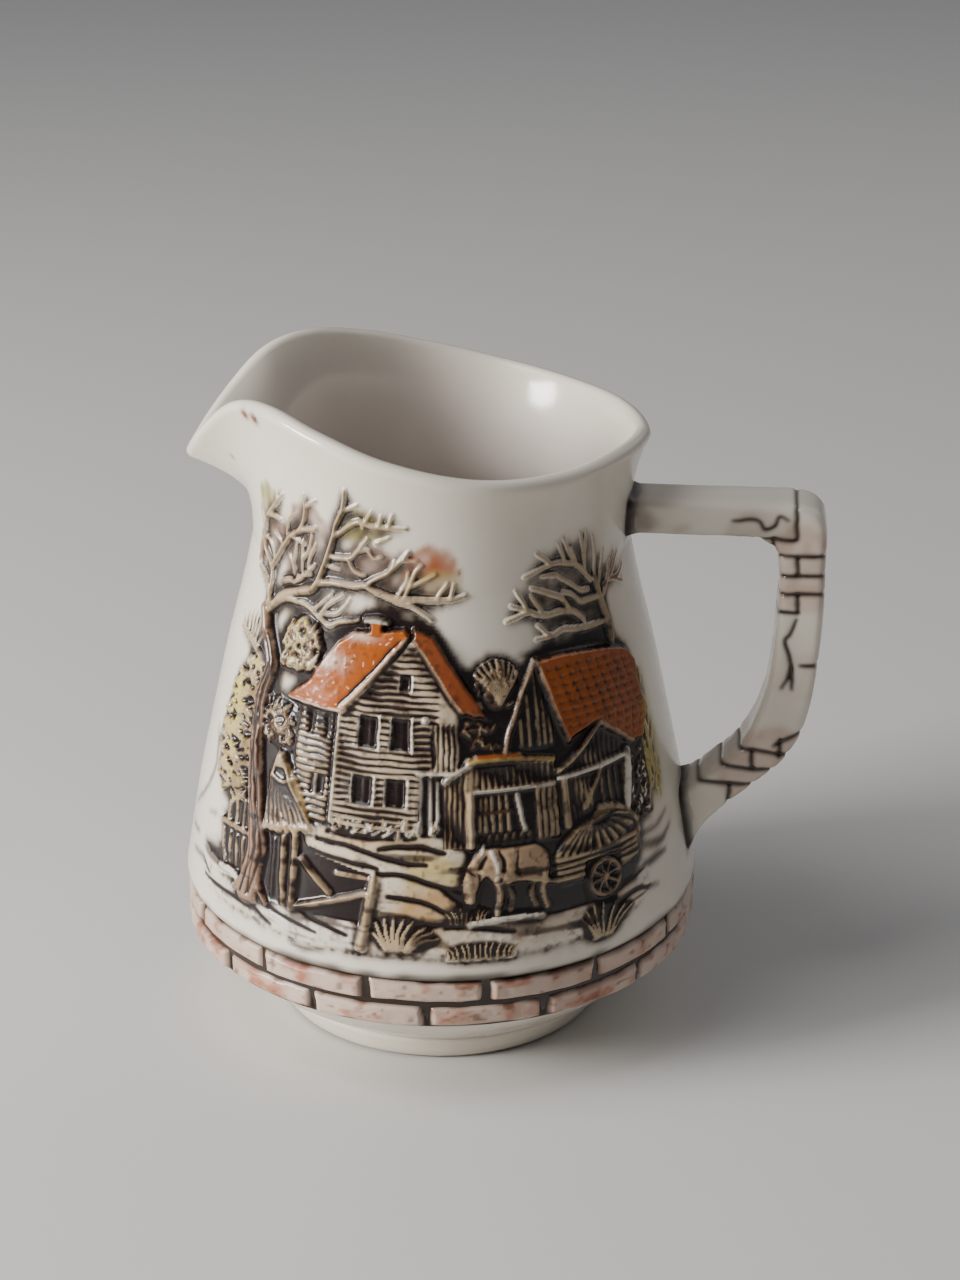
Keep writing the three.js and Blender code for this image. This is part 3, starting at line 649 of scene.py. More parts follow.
def middle_bush(s):
    s.fill([(7.8, 64.5), (8, 72), (11, 79), (14.5, 80.6), (18, 79.5), (19.2, 75.5), (17, 69),
            (15.5, 64.8)], 0.3, BUSH,
           WASH * 2, 0.95)
    for k in range(9):
        lean = -1.15 + 0.29 * k
        tip = (15 + 4.5 * math.sin(lean), 75 + 5 * math.cos(lean * 0.8))
        s.stroke([(15.2, 73), ((15 + tip[0]) / 2 + 0.5, (73.6 + tip[1]) / 2), tip], 0.9, 0.5, 0.8, BUSH,
                 TWIG, 0.3)
    s.dabs([(11, 73), (11, 79), (14.5, 80), (18, 79), (18.8, 75), (17, 72.5)], 40, 1.1, 0.6, 0.8, BUSH,
           [TWIG, UMBER], 0.2, 1.5, 0.4)
    s.dabs([(7.8, 65.5), (8.3, 72), (15, 72), (15.5, 66)], 26, 1.2, 0.5, 0.6, BUSH, [UMBER, TWIG * 0.7],
           0.2, 1.5, 0.3)


def barn(s):
    s.fill([(15.4, 64.7), (18.3, 72), (22.9, 80), (28, 80.3), (37, 79.8), (44, 78.2), (47.5, 76.5),
            (49.5, 73.5), (49, 69.5),
            (50.6, 65), (47, 59), (43.5, 50.5), (24, 49.3), (24, 64.5)], 0.2, BARN, WASH * 2, 1.0)
    strokes(s, [[(20.6, 65.5), (20.6, 74)], [(22.4, 65.5), (22.4, 77.5)], [(23.6, 65.5), (23.6, 77)],
                [(24.8, 65.5), (24.7, 72)], [(19, 65.5), (19, 70)]], 0.75, 0.6, 0.7, BARN, TWIG, 0.1)
    s.stroke([(22.8, 79.3), (21.4, 77.1), (19.9, 75), (18.5, 71.8), (16.7, 67.9), (15.8, 65)], 1.1, 0.9,
             1.3, BARN,
             TWIG * 0.7 + RUST * 0.3)
    s.stroke([(23.1, 79.3), (24.6, 75), (26, 70.7), (28.2, 65)], 1.0, 1.0, 1.5, BARN_ROOF, TWIG)
    s.stain((17.5, 66.5), (1.2, 2), RUST, 0.7)
    s.fill([(24.5, 60), (35, 66), (42.8, 60), (42.3, 50), (24.6, 50)], 0.45, BARN, TWIG, 0.15)
    s.planks([(24.8, 59.7), (35, 65.6), (42.2, 59.7)], 1.15, 0.5, True)
    s.planks([(25, 50.5), (25, 58.6), (32, 58.6), (32, 50.5)], 0.95, 0.7, True)
    s.fill([(32, 50.5), (32, 58.5), (39.8, 58.5), (38.8, 50.5)], 0.12, BARN, WASH * 2, 1.0)
    s.stroke([(30.3, 52.8), (32.5, 55.6), (35, 58.8)], 0.9, 0.8, 0.9, BARN, TWIG)
    strokes(s, [[(34.4, 51.5), (34.6, 57)], [(36.3, 51), (36.5, 58)], [(38, 51), (38.2, 58)]], 0.6, 0.5,
            0.5, BARN, TWIG)
    s.stroke([(24.5, 59), (32, 59), (40.6, 59.2)], 0.8, 0.8, 1.2, BARN, GLAZE)
    s.stroke([(26.6, 59), (26.6, 50.8)], 1.6, 1.6, 1.0, BARN, TWIG)
    s.stroke([(41.7, 59.6), (41, 55), (39.8, 50.4)], 1.9, 1.8, 1.2, BARN, GLAZE)


def barn_roof(s):
    roof = [(23.4, 79.2), (28.1, 79.5), (36.4, 78.8), (43.5, 77.3), (46.6, 76.1), (48.6, 73.9),
            (48.2, 69.6), (49.7, 65.4),
            (46.6, 60.4), (43.1, 61.1), (35.3, 67), (30.6, 66), (28, 65.2)]
    s.fill(roof, 1.5, BARN_ROOF, TILE * 0.82)
    s.stain((44, 70), (6, 9), RUST * 1.1, 0.65)
    s.stain((28, 75), (4, 5), TILE * 1.05, 0.6)
    row = 77.4
    while row > 62.5:
        u = 24 + (79 - row) * 0.34 if row > 67 else 36 + (66.5 - row) * 1.35
        while u < 47.5:
            sag = -0.012 * max(0, u - 30) ** 1.6
            s.carve([(u, row + sag), (u + 0.9, row + sag - 0.1), (u + 1.7, row + sag)], 0.4, 0.2, 0.16)
            s.carve([(u + 0.2, row + sag - 0.3), (u + 0.2, row + sag + 1)], 0.4, 0.2, 0.1)
            u += 2.3
        row -= 1.45
    s.stroke([(23.5, 79), (28.1, 79.3), (36.4, 78.6), (43.5, 77.1), (46.3, 76)], 0.8, 0.8, 1.65, BARN_ROOF,
             PINK * 0.5 + TILE * 0.4)
    s.stroke([(35.2, 66.4), (31, 63.4), (27.4, 61.2), (23.7, 59.8)], 1.1, 1.0, 1.7, BARN_ROOF, TWIG)
    s.stroke([(35.4, 66.4), (39.2, 63.8), (43.3, 60.6)], 1.1, 1.0, 1.7, BARN_ROOF, TWIG)
    s.shade([(19.5, 80.6), (43.5, 82), (43.5, 78.5), (36, 79.5), (22, 80.2)], 1.0, 0.6)


def lean_to(s):
    s.fill([(4.8, 49), (4.8, 60.5), (9.5, 64.6), (25, 64), (25.2, 49)], 0.2, LEAN_TO, WASH * 2, 1.0)
    s.fill([(4.9, 49.2), (4.9, 60), (9, 63), (10, 63), (10, 49.2)], 0.75, LEAN_TO, TWIG, 0.1)
    s.planks([(4.9, 49.2), (4.9, 60), (8.8, 62.5), (8.8, 49.2)], 0.9, 0.6, True)
    s.stroke([(9.4, 49.4), (9.4, 58.5)], 1.3, 1.3, 1.2, LEAN_TO, TWIG)
    s.fill([(10, 58.7), (10, 63), (24.8, 62.6), (24.8, 58.7)], 0.6, LEAN_TO, TWIG, 0.15)
    s.planks([(10.2, 59), (10.2, 62.6), (24.6, 62.2), (24.6, 59)], 1.1, 0.5, True)
    s.stroke([(9.8, 58.6), (17, 58.6), (24.7, 58.4)], 0.6, 0.6, 1.1, LEAN_TO, GLAZE)
    s.stroke([(4.9, 60.4), (7, 61.9), (9.7, 63.6)], 1.0, 1.0, 1.4, LEAN_TO, GLAZE)
    s.stroke([(9, 63.8), (14, 63.9), (19.6, 63.5), (24.8, 62.6)], 1.3, 0.9, 1.4, LEAN_TO, STRAW)
    s.stroke([(10.5, 64.5), (15, 64.6), (19, 64.2)], 0.9, 0.7, 1.2, LEAN_TO, TILE * 0.8)
    strokes(s, [[(u, 55.6), (u, 57.8)] for u in (11, 12, 13, 14.3, 15.6)], 0.6, 0.6, 0.8, LEAN_TO, TWIG)
    strokes(s, [[(u, 51.8), (u, 54.4)] for u in (10.8, 11.8, 13.1, 14.4, 15.8)], 0.7, 0.7, 0.8, LEAN_TO,
            TWIG)
    s.stroke([(10.2, 55), (16.5, 55)], 0.5, 0.5, 0.6, LEAN_TO, UMBER)
    s.stroke([(17.6, 57.5), (18, 54.5), (18.6, 51.6)], 1.1, 1.0, 1.0, LEAN_TO, GLAZE)
    strokes(s, [[(u, 49.4), (u + 0.4, 51)] for u in (10.6, 12, 13.4, 14.8, 16.2, 17.6, 19)], 0.6, 0.6,
            0.6, LEAN_TO, TWIG)
    strokes(s, [[(u, 49.6), (u, 58.3)] for u in (21.2, 22.3, 23.4, 24.4)], 0.85, 0.8, 1.0, LEAN_TO, TWIG)


def old_tree(s):
    s.shade([(-31, 85), (-29.5, 70), (-27.5, 55), (-25.5, 46), (-24, 34), (-28, 34), (-29, 46), (-32, 60),
             (-33.5, 72)], 1.0)
    s.shade([(-27, 40), (-27, 48), (-23, 48), (-19, 46), (-19, 36), (-26, 35)], 0.9, 0.7)
    trunk = [(-38, 83.5), (-35.7, 79.5), (-33.4, 76.5), (-32.5, 74.3), (-33.4, 71), (-33.8, 67.7),
             (-33.3, 62),
             (-32.3, 57.3), (-31.3, 53), (-30.3, 49), (-29.5, 46), (-29, 43), (-29.4, 40), (-30, 36.7),
             (-30.4, 34.8)]
    s.stroke(trunk, 2.4, 4.8, 1.3, OLD_TREE, BARK, 0.3)
    strokes(s, [[(-29.5, 40), (-28, 37), (-26, 34.2)], [(-29.8, 40), (-31.5, 37), (-33.6, 34.2)],
                [(-29.4, 38), (-29.3, 36), (-28.6, 33.8)]], 2.2, 1.0, 1.2, OLD_TREE, BARK)
    for shift in (-1.1, -0.35, 0.45, 1.15):
        line = [(u + shift * (0.5 + 0.5 * min(1, (84 - z) / 40)) + 0.25 * math.sin(z * 0.35 + shift * 5),
                 z)
                for u, z in trunk[1:]]
        s.carve(line, 0.5, 0.5, 0.7)
    s.stain((-30.5, 44), (2.5, 9), np.array([0.42, 0.20, 0.13]), 0.45)
    s.stain((-33.4, 64), (1.6, 8), PINK, 0.35)


def old_tree_leaves(s):
    tints = [
        ([(-44, 98.5), (-45, 103), (-41, 105.5), (-37, 104.5), (-37, 99.5)], LIME * 0.8, 0.95),
        ([(-41.7, 95.5), (-41.5, 99), (-36, 99.6), (-31, 98.8), (-31, 95), (-36, 94.4)],
         RUST + UMBER * 0.5, 0.95),
        ([(-45.5, 90), (-45.5, 95.5), (-40, 96.5), (-39, 91)], MAUVE + PINK * 0.45, 0.75),
        ([(-33, 97.5), (-31, 103.5), (-26, 105.5), (-20.5, 102), (-21, 97)], PINK * 0.6, 0.85),
        ([(-34, 90), (-33, 97), (-28, 99), (-23, 97), (-24, 90)], UMBER * 2.4 + PINK * 0.2, 0.6),
        ([(-18.5, 99.5), (-17, 105), (-11, 106), (-5, 104.5), (-8, 100.5)], LIME * 0.8, 0.9),
        ([(-20, 90.8), (-19.6, 97), (-14, 99.4), (-8, 99), (-3, 96), (-4, 90.6)],
         MAUVE * 1.6 + UMBER * 0.6, 0.88),
        ([(-4, 95), (-2, 99.3), (2, 100.5), (5.5, 99.8), (8, 97.4), (7, 95), (2, 94)], TILE + RUST, 0.92),
        ([(-5, 91), (-4, 95), (2, 95.6), (8.4, 96), (8.6, 93), (5, 91)], STRAW * 1.2 + RUST * 0.3, 0.85),
        ([(-24.5, 84.5), (-23, 88.6), (-17, 90), (-14, 87), (-17, 84.6)], UMBER * 2, 0.45)]
    for outline, colour, amount in tints:
        s.patch(outline, colour * 0.5, amount, 0.5)


def old_tree_branches(s):
    limbs = [[(-37.4, 82.6), (-35, 85.3), (-32.3, 87.2), (-29.3, 88.2), (-26.7, 89), (-24.7, 89.7),
              (-23.3, 91.7),
              (-22, 94), (-21, 96), (-20, 98.3), (-19, 100.7), (-18.3, 102.7), (-17, 104.7), (-16.2, 107),
              (-15.8, 109)]]
    strokes(s, limbs, 2.0, 0.7, 1.1, OLD_TREE, TWIG)
    strokes(s, [[(-37.4, 83), (-38.3, 88.7), (-39, 90.7)], [(-37, 84.5), (-40, 87.7), (-44.7, 89)],
                [(-23.3, 91), (-19.7, 91.7), (-14.7, 91.8), (-12, 92.3), (-10.3, 91.6), (-6, 90.6),
                 (-1.7, 90.6),
                 (5.4, 90.6), (9.4, 91.3)],
                [(-39, 90.5), (-36.3, 93.3), (-34, 95.7), (-31.7, 97.7), (-29.3, 99), (-26.7, 100),
                 (-24, 100.5)],
                [(-39, 90.5), (-42.3, 93), (-42.3, 95.3), (-41.7, 98), (-40, 99.7)]], 1.25, 0.65, 0.95,
            OLD_TREE, TWIG)
    strokes(s, [[(-18.7, 100.3), (-16.7, 101.7), (-14.7, 103), (-12.7, 103.7), (-10.3, 103.2),
                 (-2.8, 103.3)],
                [(-19.7, 96.3), (-15.3, 96.8), (-13.3, 98.7), (-11.3, 100.7)],
                [(-12, 92.3), (-9.7, 93.7), (-6.7, 95.2), (-3.9, 97.7), (-2.4, 99.1)],
                [(-45.3, 90), (-44.7, 93.3), (-42.3, 95.3)], [(-40, 99.7), (-37.5, 99.9), (-35, 99.7)],
                [(-41, 99.2), (-37, 102.3), (-33.7, 104.7)],
                [(-29.3, 99), (-27.7, 100.7), (-26.8, 103.3), (-26.8, 106.3)],
                [(-34, 85.5), (-31.5, 86.4), (-29.3, 86.7), (-26.7, 86.8), (-24, 86), (-21.7, 85),
                 (-19.7, 84.3),
                 (-17.3, 85.3), (-15, 85.7), (-12.7, 86.3)],
                [(-8.9, 91.3), (-4.6, 89.9), (-1.3, 89.3), (2.5, 87.3)],
                [(-34.7, 88.7), (-32, 89.7), (-29.3, 90), (-24.7, 93.8)]], 0.9, 0.55, 0.85, OLD_TREE, TWIG)
    strokes(s, [[(-12.4, 102.7), (-10, 106)], [(-8.8, 103.3), (-8, 105.4)], [(-6.8, 103.3), (-5.6, 105.7)],
                [(-17.6, 104.6), (-13, 106.7)], [(-13.3, 98.3), (-11.3, 98.7), (-10, 97.3), (-8, 97.7)],
                [(-3.1, 91.3), (-1, 95.6), (0.4, 96.8)], [(-2.4, 92.7), (3.3, 95.2)],
                [(6.1, 90.6), (6.9, 93.4)],
                [(3.4, 90.8), (5.6, 93.6)], [(-42.3, 95.3), (-39.7, 94.3), (-38.3, 91.3)],
                [(-26.7, 104), (-23.3, 105.8)],
                [(-33, 97.7), (-32.3, 100.7), (-29.7, 102.3)], [(-29.7, 90.7), (-25.3, 92)],
                [(-30.3, 92), (-32.7, 94)],
                [(-30.6, 91), (-31, 93.3), (-29.7, 97.3)], [(-28.3, 92), (-28.3, 94), (-28, 98)],
                [(-28, 94.3), (-26, 96.7), (-25.3, 99.3)], [(-26.3, 93), (-26.3, 94), (-24.3, 97.7)],
                [(-22, 86), (-20, 88), (-17, 89.7)], [(-21.3, 86.1), (-18, 86.7), (-15.3, 89.3)],
                [(-24, 86.2), (-19.7, 89.6)], [(-7, 95), (-5.4, 97.4)],
                [(-16, 96.8), (-14.6, 94.6), (-12, 94)],
                [(-36, 102.8), (-36.8, 105)], [(-31.6, 97.8), (-27, 97)], [(-21.6, 94.6), (-18, 94.2)],
                [(-38.2, 97), (-34.6, 95.4)], [(-9.6, 100), (-6.4, 101.4)], [(-4, 97.6), (-0.5, 97.4)],
                [(-43, 97), (-44.6, 100.4)], [(-5, 90.7), (-3, 93.6), (-2.6, 95.4)]],
            0.68, 0.4, 0.75, OLD_TREE, TWIG)


def bare_tree(s):
    stains = [
        ((39, 85.7), (3.4, 1.6), MAUVE * 0.5, 0.95), ((34.5, 80.8), (7, 1.4), MAUVE * 0.4, 0.9),
        ((26, 89.4), (3.4, 1.6), OLIVE * 0.9, 0.7), ((33, 92.5), (8, 5), UMBER * 1.5, 0.5),
        ((38, 96), (5, 3.5), UMBER * 2, 0.4), ((49, 90), (4, 3.4), UMBER * 3, 0.4),
        ((35, 87), (8, 3), UMBER, 0.5), ((42, 82), (3, 5), MAUVE * 0.6, 0.6)]
    for centre, size, colour, amount in stains:
        s.stain(centre, size, colour, amount)
    s.stroke([(43.4, 79), (43, 83), (41.8, 87), (41.2, 90)], 2.0, 1.2, 1.0, BARE_TREE,
             TWIG * 0.7 + UMBER * 0.3)
    strokes(s, [[(42.8, 82.1), (38.1, 82.5), (33.9, 82.9), (30.6, 83.4), (27.4, 82.9), (24.6, 85)],
                [(36.4, 83.9), (34.2, 85.7), (31, 86.4), (27.4, 86.4), (24.6, 86.8), (22.8, 87.5),
                 (17.8, 86.4)],
                [(33.1, 86.1), (31, 88.6), (28.9, 89.6), (23.9, 91.4)],
                [(41.7, 86.8), (36.4, 87), (34.2, 88.6), (31.4, 89.6)],
                [(39.9, 90), (37.8, 92.1), (35.6, 93.6), (32.4, 94.6), (28.9, 95), (22.1, 93.6)]],
            1.0, 0.55, 0.85, BARE_TREE, TWIG)
    strokes(s, [[(22.8, 87.7), (18.9, 88.9)], [(22.4, 88.2), (20.3, 91.4)],
                [(39.2, 88.6), (36.7, 88.9), (34.2, 90.4), (30.6, 92.5)],
                [(28.1, 95.4), (24.9, 97.5)], [(32.1, 95.4), (30.3, 98.6)], [(34.6, 94.4), (31.7, 99.3)],
                [(38.5, 92), (36.7, 99.3)], [(38.1, 93.2), (38.5, 99.3)],
                [(41.4, 90.4), (41.7, 94.3), (40.8, 98)],
                [(42, 88.2), (43.9, 91.1), (44.9, 94.6)], [(27.4, 82.9), (24, 82.6)],
                [(26, 86.8), (23.6, 90.2)],
                [(42.6, 86), (45.8, 88.8), (47.6, 91.6)], [(35.8, 93.6), (34, 97)],
                [(30, 92.8), (26.4, 93.2)]],
            0.75, 0.45, 0.7, BARE_TREE, TWIG)
    strokes(s, [[(44, 88), (48, 89.4), (52, 92.4)], [(46, 88.6), (51, 88.2), (54, 89.6)],
                [(47, 90), (49.5, 93)],
                [(48, 88.5), (52.6, 86.6)]], 0.7, 0.5, 0.35, BARE_TREE, UMBER * 2.4)


def horse_and_cart(s):
    s.shade([(7, 36.5), (7, 43), (9, 49.5), (24, 50), (24, 36.5)], 1.0, 0.7)
    s.fill([(10.4, 48.6), (12.5, 48.9), (16.7, 48.6), (20.4, 48.8), (22.4, 47.2), (22.8, 44),
            (21.6, 42.2), (17, 42.8),
            (13, 42.6), (11.6, 44.4), (10, 41.8), (9.4, 39.4), (8.2, 39.8), (7.8, 43), (8.6, 46)], 0.55,
           HORSE,
           TWIG * 0.8 + PINK * 0.2, 0.05, 0.55)
    s.stroke([(11.2, 48.2), (9.4, 46), (8.9, 43), (9.2, 40)], 1.7, 1.3, 1.0, HORSE, TWIG)
    s.carve([(8.6, 45.6), (9.8, 44.4)], 0.4, 0.3, 0.8)
    s.carve([(11.6, 47.6), (10.6, 45.4), (10.6, 42.6)], 0.5, 0.4, 0.9)
    s.stroke([(10.8, 48), (11.4, 49.6)], 0.8, 0.5, 1.0, HORSE, GLAZE)
    strokes(s, [[(13, 43.6), (14, 41), (13.2, 37.4)], [(21.6, 43.4), (21, 40.6), (21.8, 37.6)]], 1.4, 0.9,
            1.0, HORSE, TWIG)
    strokes(s, [[(14.8, 43), (15.8, 40), (15.4, 37.8)], [(19.8, 43), (19.2, 40.4), (19.8, 38)]], 1.0, 0.7,
            0.6, HORSE, TWIG * 0.5)
    s.stroke([(12.5, 48.4), (13.4, 45.6), (13.2, 43.6)], 1.2, 1.0, 1.35, HORSE, GLAZE)
    s.carve([(13.9, 48.4), (14.5, 45.8), (14, 43.2)], 0.5, 0.5, 0.8)
    s.carve([(17, 48), (16.6, 45.5), (17.4, 43.2)], 0.4, 0.25, 0.5)
    s.stroke([(10.8, 45.1), (17.3, 43.4), (24, 41.5)], 1.0, 0.9, 1.45, HORSE, TWIG)
    s.fill([(23.5, 46), (26.7, 49.7), (30.7, 50.6), (33.3, 52.4), (36.7, 51.9), (40.7, 49.5), (42.3, 46),
            (42, 42),
            (40.6, 40.2), (24, 40.2)], 0.5, CART, STRAW * 0.35 + TWIG * 0.6, 0.3, 0.35)
    for tip in [(24, 46), (25.3, 45.7), (26.8, 45.5), (28.4, 45.5), (30, 45.5), (32, 45.5), (34, 45.7),
                (36, 46),
                (38, 46.4), (40, 47.2), (41, 48.6)]:
        bend = ((30.7 + tip[0]) / 2 + 0.4, (50.4 + tip[1]) / 2 + 0.9)
        s.stroke([(30.7, 50), bend, tip], 0.8, 0.7, 0.75, CART, TWIG, 0.5)
        s.carve([(31.1, 49.8), (bend[0] + 0.6, bend[1]), (tip[0] + 0.8, tip[1] + 0.1)], 0.5, 0.5, 1.0)
    s.stroke([(33, 52), (37, 51.2), (40.8, 48.6), (42, 45)], 1.2, 1.0, 0.9, CART, TWIG)
    for z in (45, 43.9, 42.8, 41.7):
        s.stroke([(23.8, z), (32, z - 0.1), (40.4, z)], 0.75, 0.75, 1.2, CART, TWIG)
    for z in (44.45, 43.35, 42.25):
        s.carve([(23.8, z), (40.4, z)], 0.4, 0.3, 0.9)
    s.fill([(29, 36), (29, 43.6), (36.6, 43.6), (36.6, 36)], 0.1, CART, WASH, 1.0)
    hub, radius = (32.8, 39.8), 3.1
    turns = np.linspace(0, 2 * math.pi, 25)
    rim = [(hub[0] + radius * math.cos(a), hub[1] + radius * math.sin(a)) for a in turns]
    s.stroke(rim, 0.9, 0.9, 1.3, CART, TWIG)
    for k in range(8):
        a = k * math.pi / 4 + 0.2
        s.stroke([hub, (hub[0] + radius * math.cos(a), hub[1] + radius * math.sin(a))], 0.55, 0.5, 1.0,
                 CART, TWIG)
    s.stroke([hub, (hub[0] + 0.1, hub[1])], 1.5, 1.5, 1.35, CART, TWIG)
    s.shade([(23, 36.5), (23, 41), (42, 41), (40, 36.5)], 0.9, 0.7)


def reeds(s):
    s.dabs([(41.9, 46.5), (42, 58), (46.5, 58.5), (47, 47)], 46, 1.2, 0.6, 0.75, REEDS,
           [TWIG, UMBER, GLAZE], 0.3, 1.5, 0.2)
    s.shade([(42, 46), (42.6, 59), (46.6, 59), (47.2, 46.5)], 0.8)
    s.dabs([(46.8, 48.5), (47, 60), (50.6, 72), (52, 62), (51.6, 49)], 44, 3.4, 0.6, 0.5, REEDS,
           [OLIVE * 1.2, STRAW * 0.8, TWIG], 0.15, 0.45)
    s.patch([(47, 47), (46.6, 60), (49, 72), (53, 71), (54, 58), (52, 47)], OLIVE * 1.1 + STRAW * 0.3,
            0.7, 1.6)
    s.patch([(44, 39), (42, 44), (47, 47), (55, 44), (54, 40)], UMBER * 3 + GLAZE * 0.2, 0.4, 1.8)
    for line in ([(42, 44), (47, 43.5), (52, 44.6)], [(43, 41), (48, 40), (53, 41.4)],
                 [(44, 37.6), (50, 38)]):
        s.carve(line, 0.9, 0.2, 0.6)


def draw_front():
    s = Sheet(-58, 58, 26, 112, 0.2, 5)
    ground(s)
    hedge(s)
    fence_and_gate(s)
    farmhouse(s)
    middle_bush(s)
    farmhouse_roof(s)
    barn(s)
    barn_roof(s)
    lean_to(s)
    stook(s)
    bare_tree(s)
    old_tree(s)
    old_tree_leaves(s)
    old_tree_branches(s)
    horse_and_cart(s)
    reeds(s)
    tufts(s)
    return s


# ---------- the farm scene, back ----------
BACK = ["bare", "back_tree", "back_cottage", "back_roof", "back_stook", "back_hedge", "back_gate",
        "back_bank"]
B_TREE, B_COTTAGE, B_ROOF, B_STOOK, B_HEDGE, B_GATE, B_BANK = range(1, 8)


def back_ground(s):
    s.mound([(-42, 31.5), (-44, 35), (-28, 38), (-17, 36.6), (-10, 37), (12, 36.5), (34, 33.4),
             (43, 35.5), (43, 32),
             (20, 29.8), (-20, 29.8)], 0.4, 2.2, B_BANK, GLAZE)
    s.mound([(-18, 47), (-19, 52), (14, 52.5), (16, 46), (4, 44.6)], 0.4, 1.6, B_BANK,
            GLAZE * 0.7 + STRAW * 0.25)
    s.patch([(-16, 44), (-17, 51), (14, 51), (15, 44)], OLIVE * 0.8 + STRAW * 0.5, 0.6, 1.6)
    for line in ([(-40, 34), (-30, 35.5), (-22, 34)], [(-14, 33), (-4, 34), (8, 33)],
                 [(14, 33), (24, 31.5), (36, 33)],
                 [(-30, 31.5), (-18, 30.6), (-6, 31.4)], [(-18, 47), (-4, 48.6), (14, 47)],
                 [(-14, 50), (0, 50.6), (12, 49.6)]):
        s.carve(line, 0.9, 0.3, 0.7)
    s.shade([(-17, 49), (-17, 53), (14, 53), (14, 49)], 0.7)
    for foot in (-36, -24, 6, 30):
        s.blades((foot, 30), 9, 4, 0.8, 0.8, B_BANK, TWIG, 0.8, 4)


def back_cottage(s):
    s.fill([(-21, 51), (-21, 67), (-12, 79.5), (12, 80), (16.5, 66), (14, 51)], 0.25, B_COTTAGE, WASH * 2,
           1.0)
    wall = [(-20, 52), (-20, 66), (-12, 77), (-4.4, 66.6), (13, 66), (13, 52)]
    s.fill(wall, 0.9, B_COTTAGE, TWIG, 0.05)
    s.planks([(-19.6, 52), (-19.6, 66), (-12, 76), (-4.6, 66), (-4.6, 52)], 1.1, 0.55, False)
    s.planks([(-4, 52), (-4, 66), (12.8, 66), (12.8, 52)], 1.05, 0.5, True)
    for u0, u1, z0, z1 in ((-17.5, -14, 57, 63), (-10.5, -7, 57, 63), (-13.4, -10.8, 68, 71),
                           (0, 4, 52, 62), (7.5, 11, 57, 62)):
        dark_opening(s, u0, u1, z0, z1, 0.1, B_COTTAGE)
        s.stroke([(u1 + 0.3, z0), (u1 + 0.3, z1)], 0.6, 0.6, 1.2, B_COTTAGE, GLAZE)
        s.stroke([((u0 + u1) / 2, z0), ((u0 + u1) / 2, z1)], 0.45, 0.45, 0.6, B_COTTAGE, TWIG)
    s.fill([(-11.6, 78.4), (-3.4, 67.4), (15.4, 66.8), (11, 78.6)], 1.5, B_ROOF, TILE)
    for row in (76.6, 74.8, 73, 71.2, 69.4):
        u = -9.6 + (76.6 - row) * 0.75
        while u < 11 + (78 - row) * 0.37:
            s.carve([(u, row), (u + 0.9, row - 0.15), (u + 1.7, row)], 0.45, 0.3, 0.4)
            u += 2.3
    s.stroke([(-19.8, 66.2), (-12, 77.2), (-4, 67)], 1.0, 1.0, 1.6, B_ROOF, GLAZE)
    s.stroke([(-11.6, 78.2), (0, 78.6), (11, 78.4)], 0.8, 0.8, 1.7, B_ROOF, PINK * 0.5 + TILE * 0.4)
    s.shade([(-22, 66), (-12, 80), (12, 81), (18, 66), (14, 70), (10, 79), (-11, 78.6)], 0.9, 0.6)


def back_tree(s):
    trunk = [(22.4, 85), (23.6, 78), (25.2, 70), (26.2, 61), (25.4, 52), (25.2, 44), (26.2, 35)]
    s.shade([(27, 35), (28.5, 60), (27, 80), (30, 80), (31, 50), (31, 35)], 0.9)
    s.stroke(trunk, 3.4, 5.6, 1.3, B_TREE, BARK, 0.3)
    strokes(s, [[(26, 42), (23, 38), (20.4, 34.6)], [(26, 42), (29, 38), (32, 34.6)]], 2.4, 1.2, 1.2,
            B_TREE, BARK)
    for shift in (-1.2, -0.4, 0.5, 1.3):
        s.carve([(u + shift + 0.3 * math.sin(z * 0.3 + shift), z) for u, z in trunk], 0.5, 0.5, 0.7)
    stains = [
        ((12, 98), (7, 4), LIME * 0.7, 0.6), ((26, 101), (5, 3), PINK * 0.7, 0.5),
        ((35, 97), (6, 4), RUST + UMBER * 0.4, 0.6), ((18, 90), (5, 3), MAUVE, 0.5)]
    for centre, size, colour, amount in stains:
        s.stain(centre, size, colour, amount)
    strokes(s, [[(23, 82), (15, 91), (7, 95)], [(23.6, 82), (26, 93), (23, 104)],
                [(25.6, 78), (33, 88), (40, 91)]],
            2.0, 0.9, 1.1, B_TREE, TWIG)
    strokes(s, [[(17.5, 88), (15.5, 97), (10, 103)], [(25.8, 92), (32, 97), (34, 103)],
                [(12, 92.6), (4, 92), (-1, 94)],
                [(33, 88), (38, 95), (41, 97)]], 1.4, 0.6, 0.9, B_TREE, TWIG)
    strokes(s, [[(15.6, 96), (19, 100), (20, 104)], [(9, 94.2), (5, 98), (4, 101)],
                [(25.8, 97), (29.4, 101), (30, 105)],
                [(24.6, 99), (21, 102)], [(36, 89.6), (42, 88)], [(35.4, 91.4), (35.6, 94.6)],
                [(12.6, 100), (8.4, 100.4)],
                [(32.6, 98.6), (36.6, 100.6)], [(14, 92), (11.6, 96.4)], [(29, 83), (34.6, 84)],
                [(5, 92.2), (1.6, 90)]],
            0.85, 0.45, 0.75, B_TREE, TWIG)


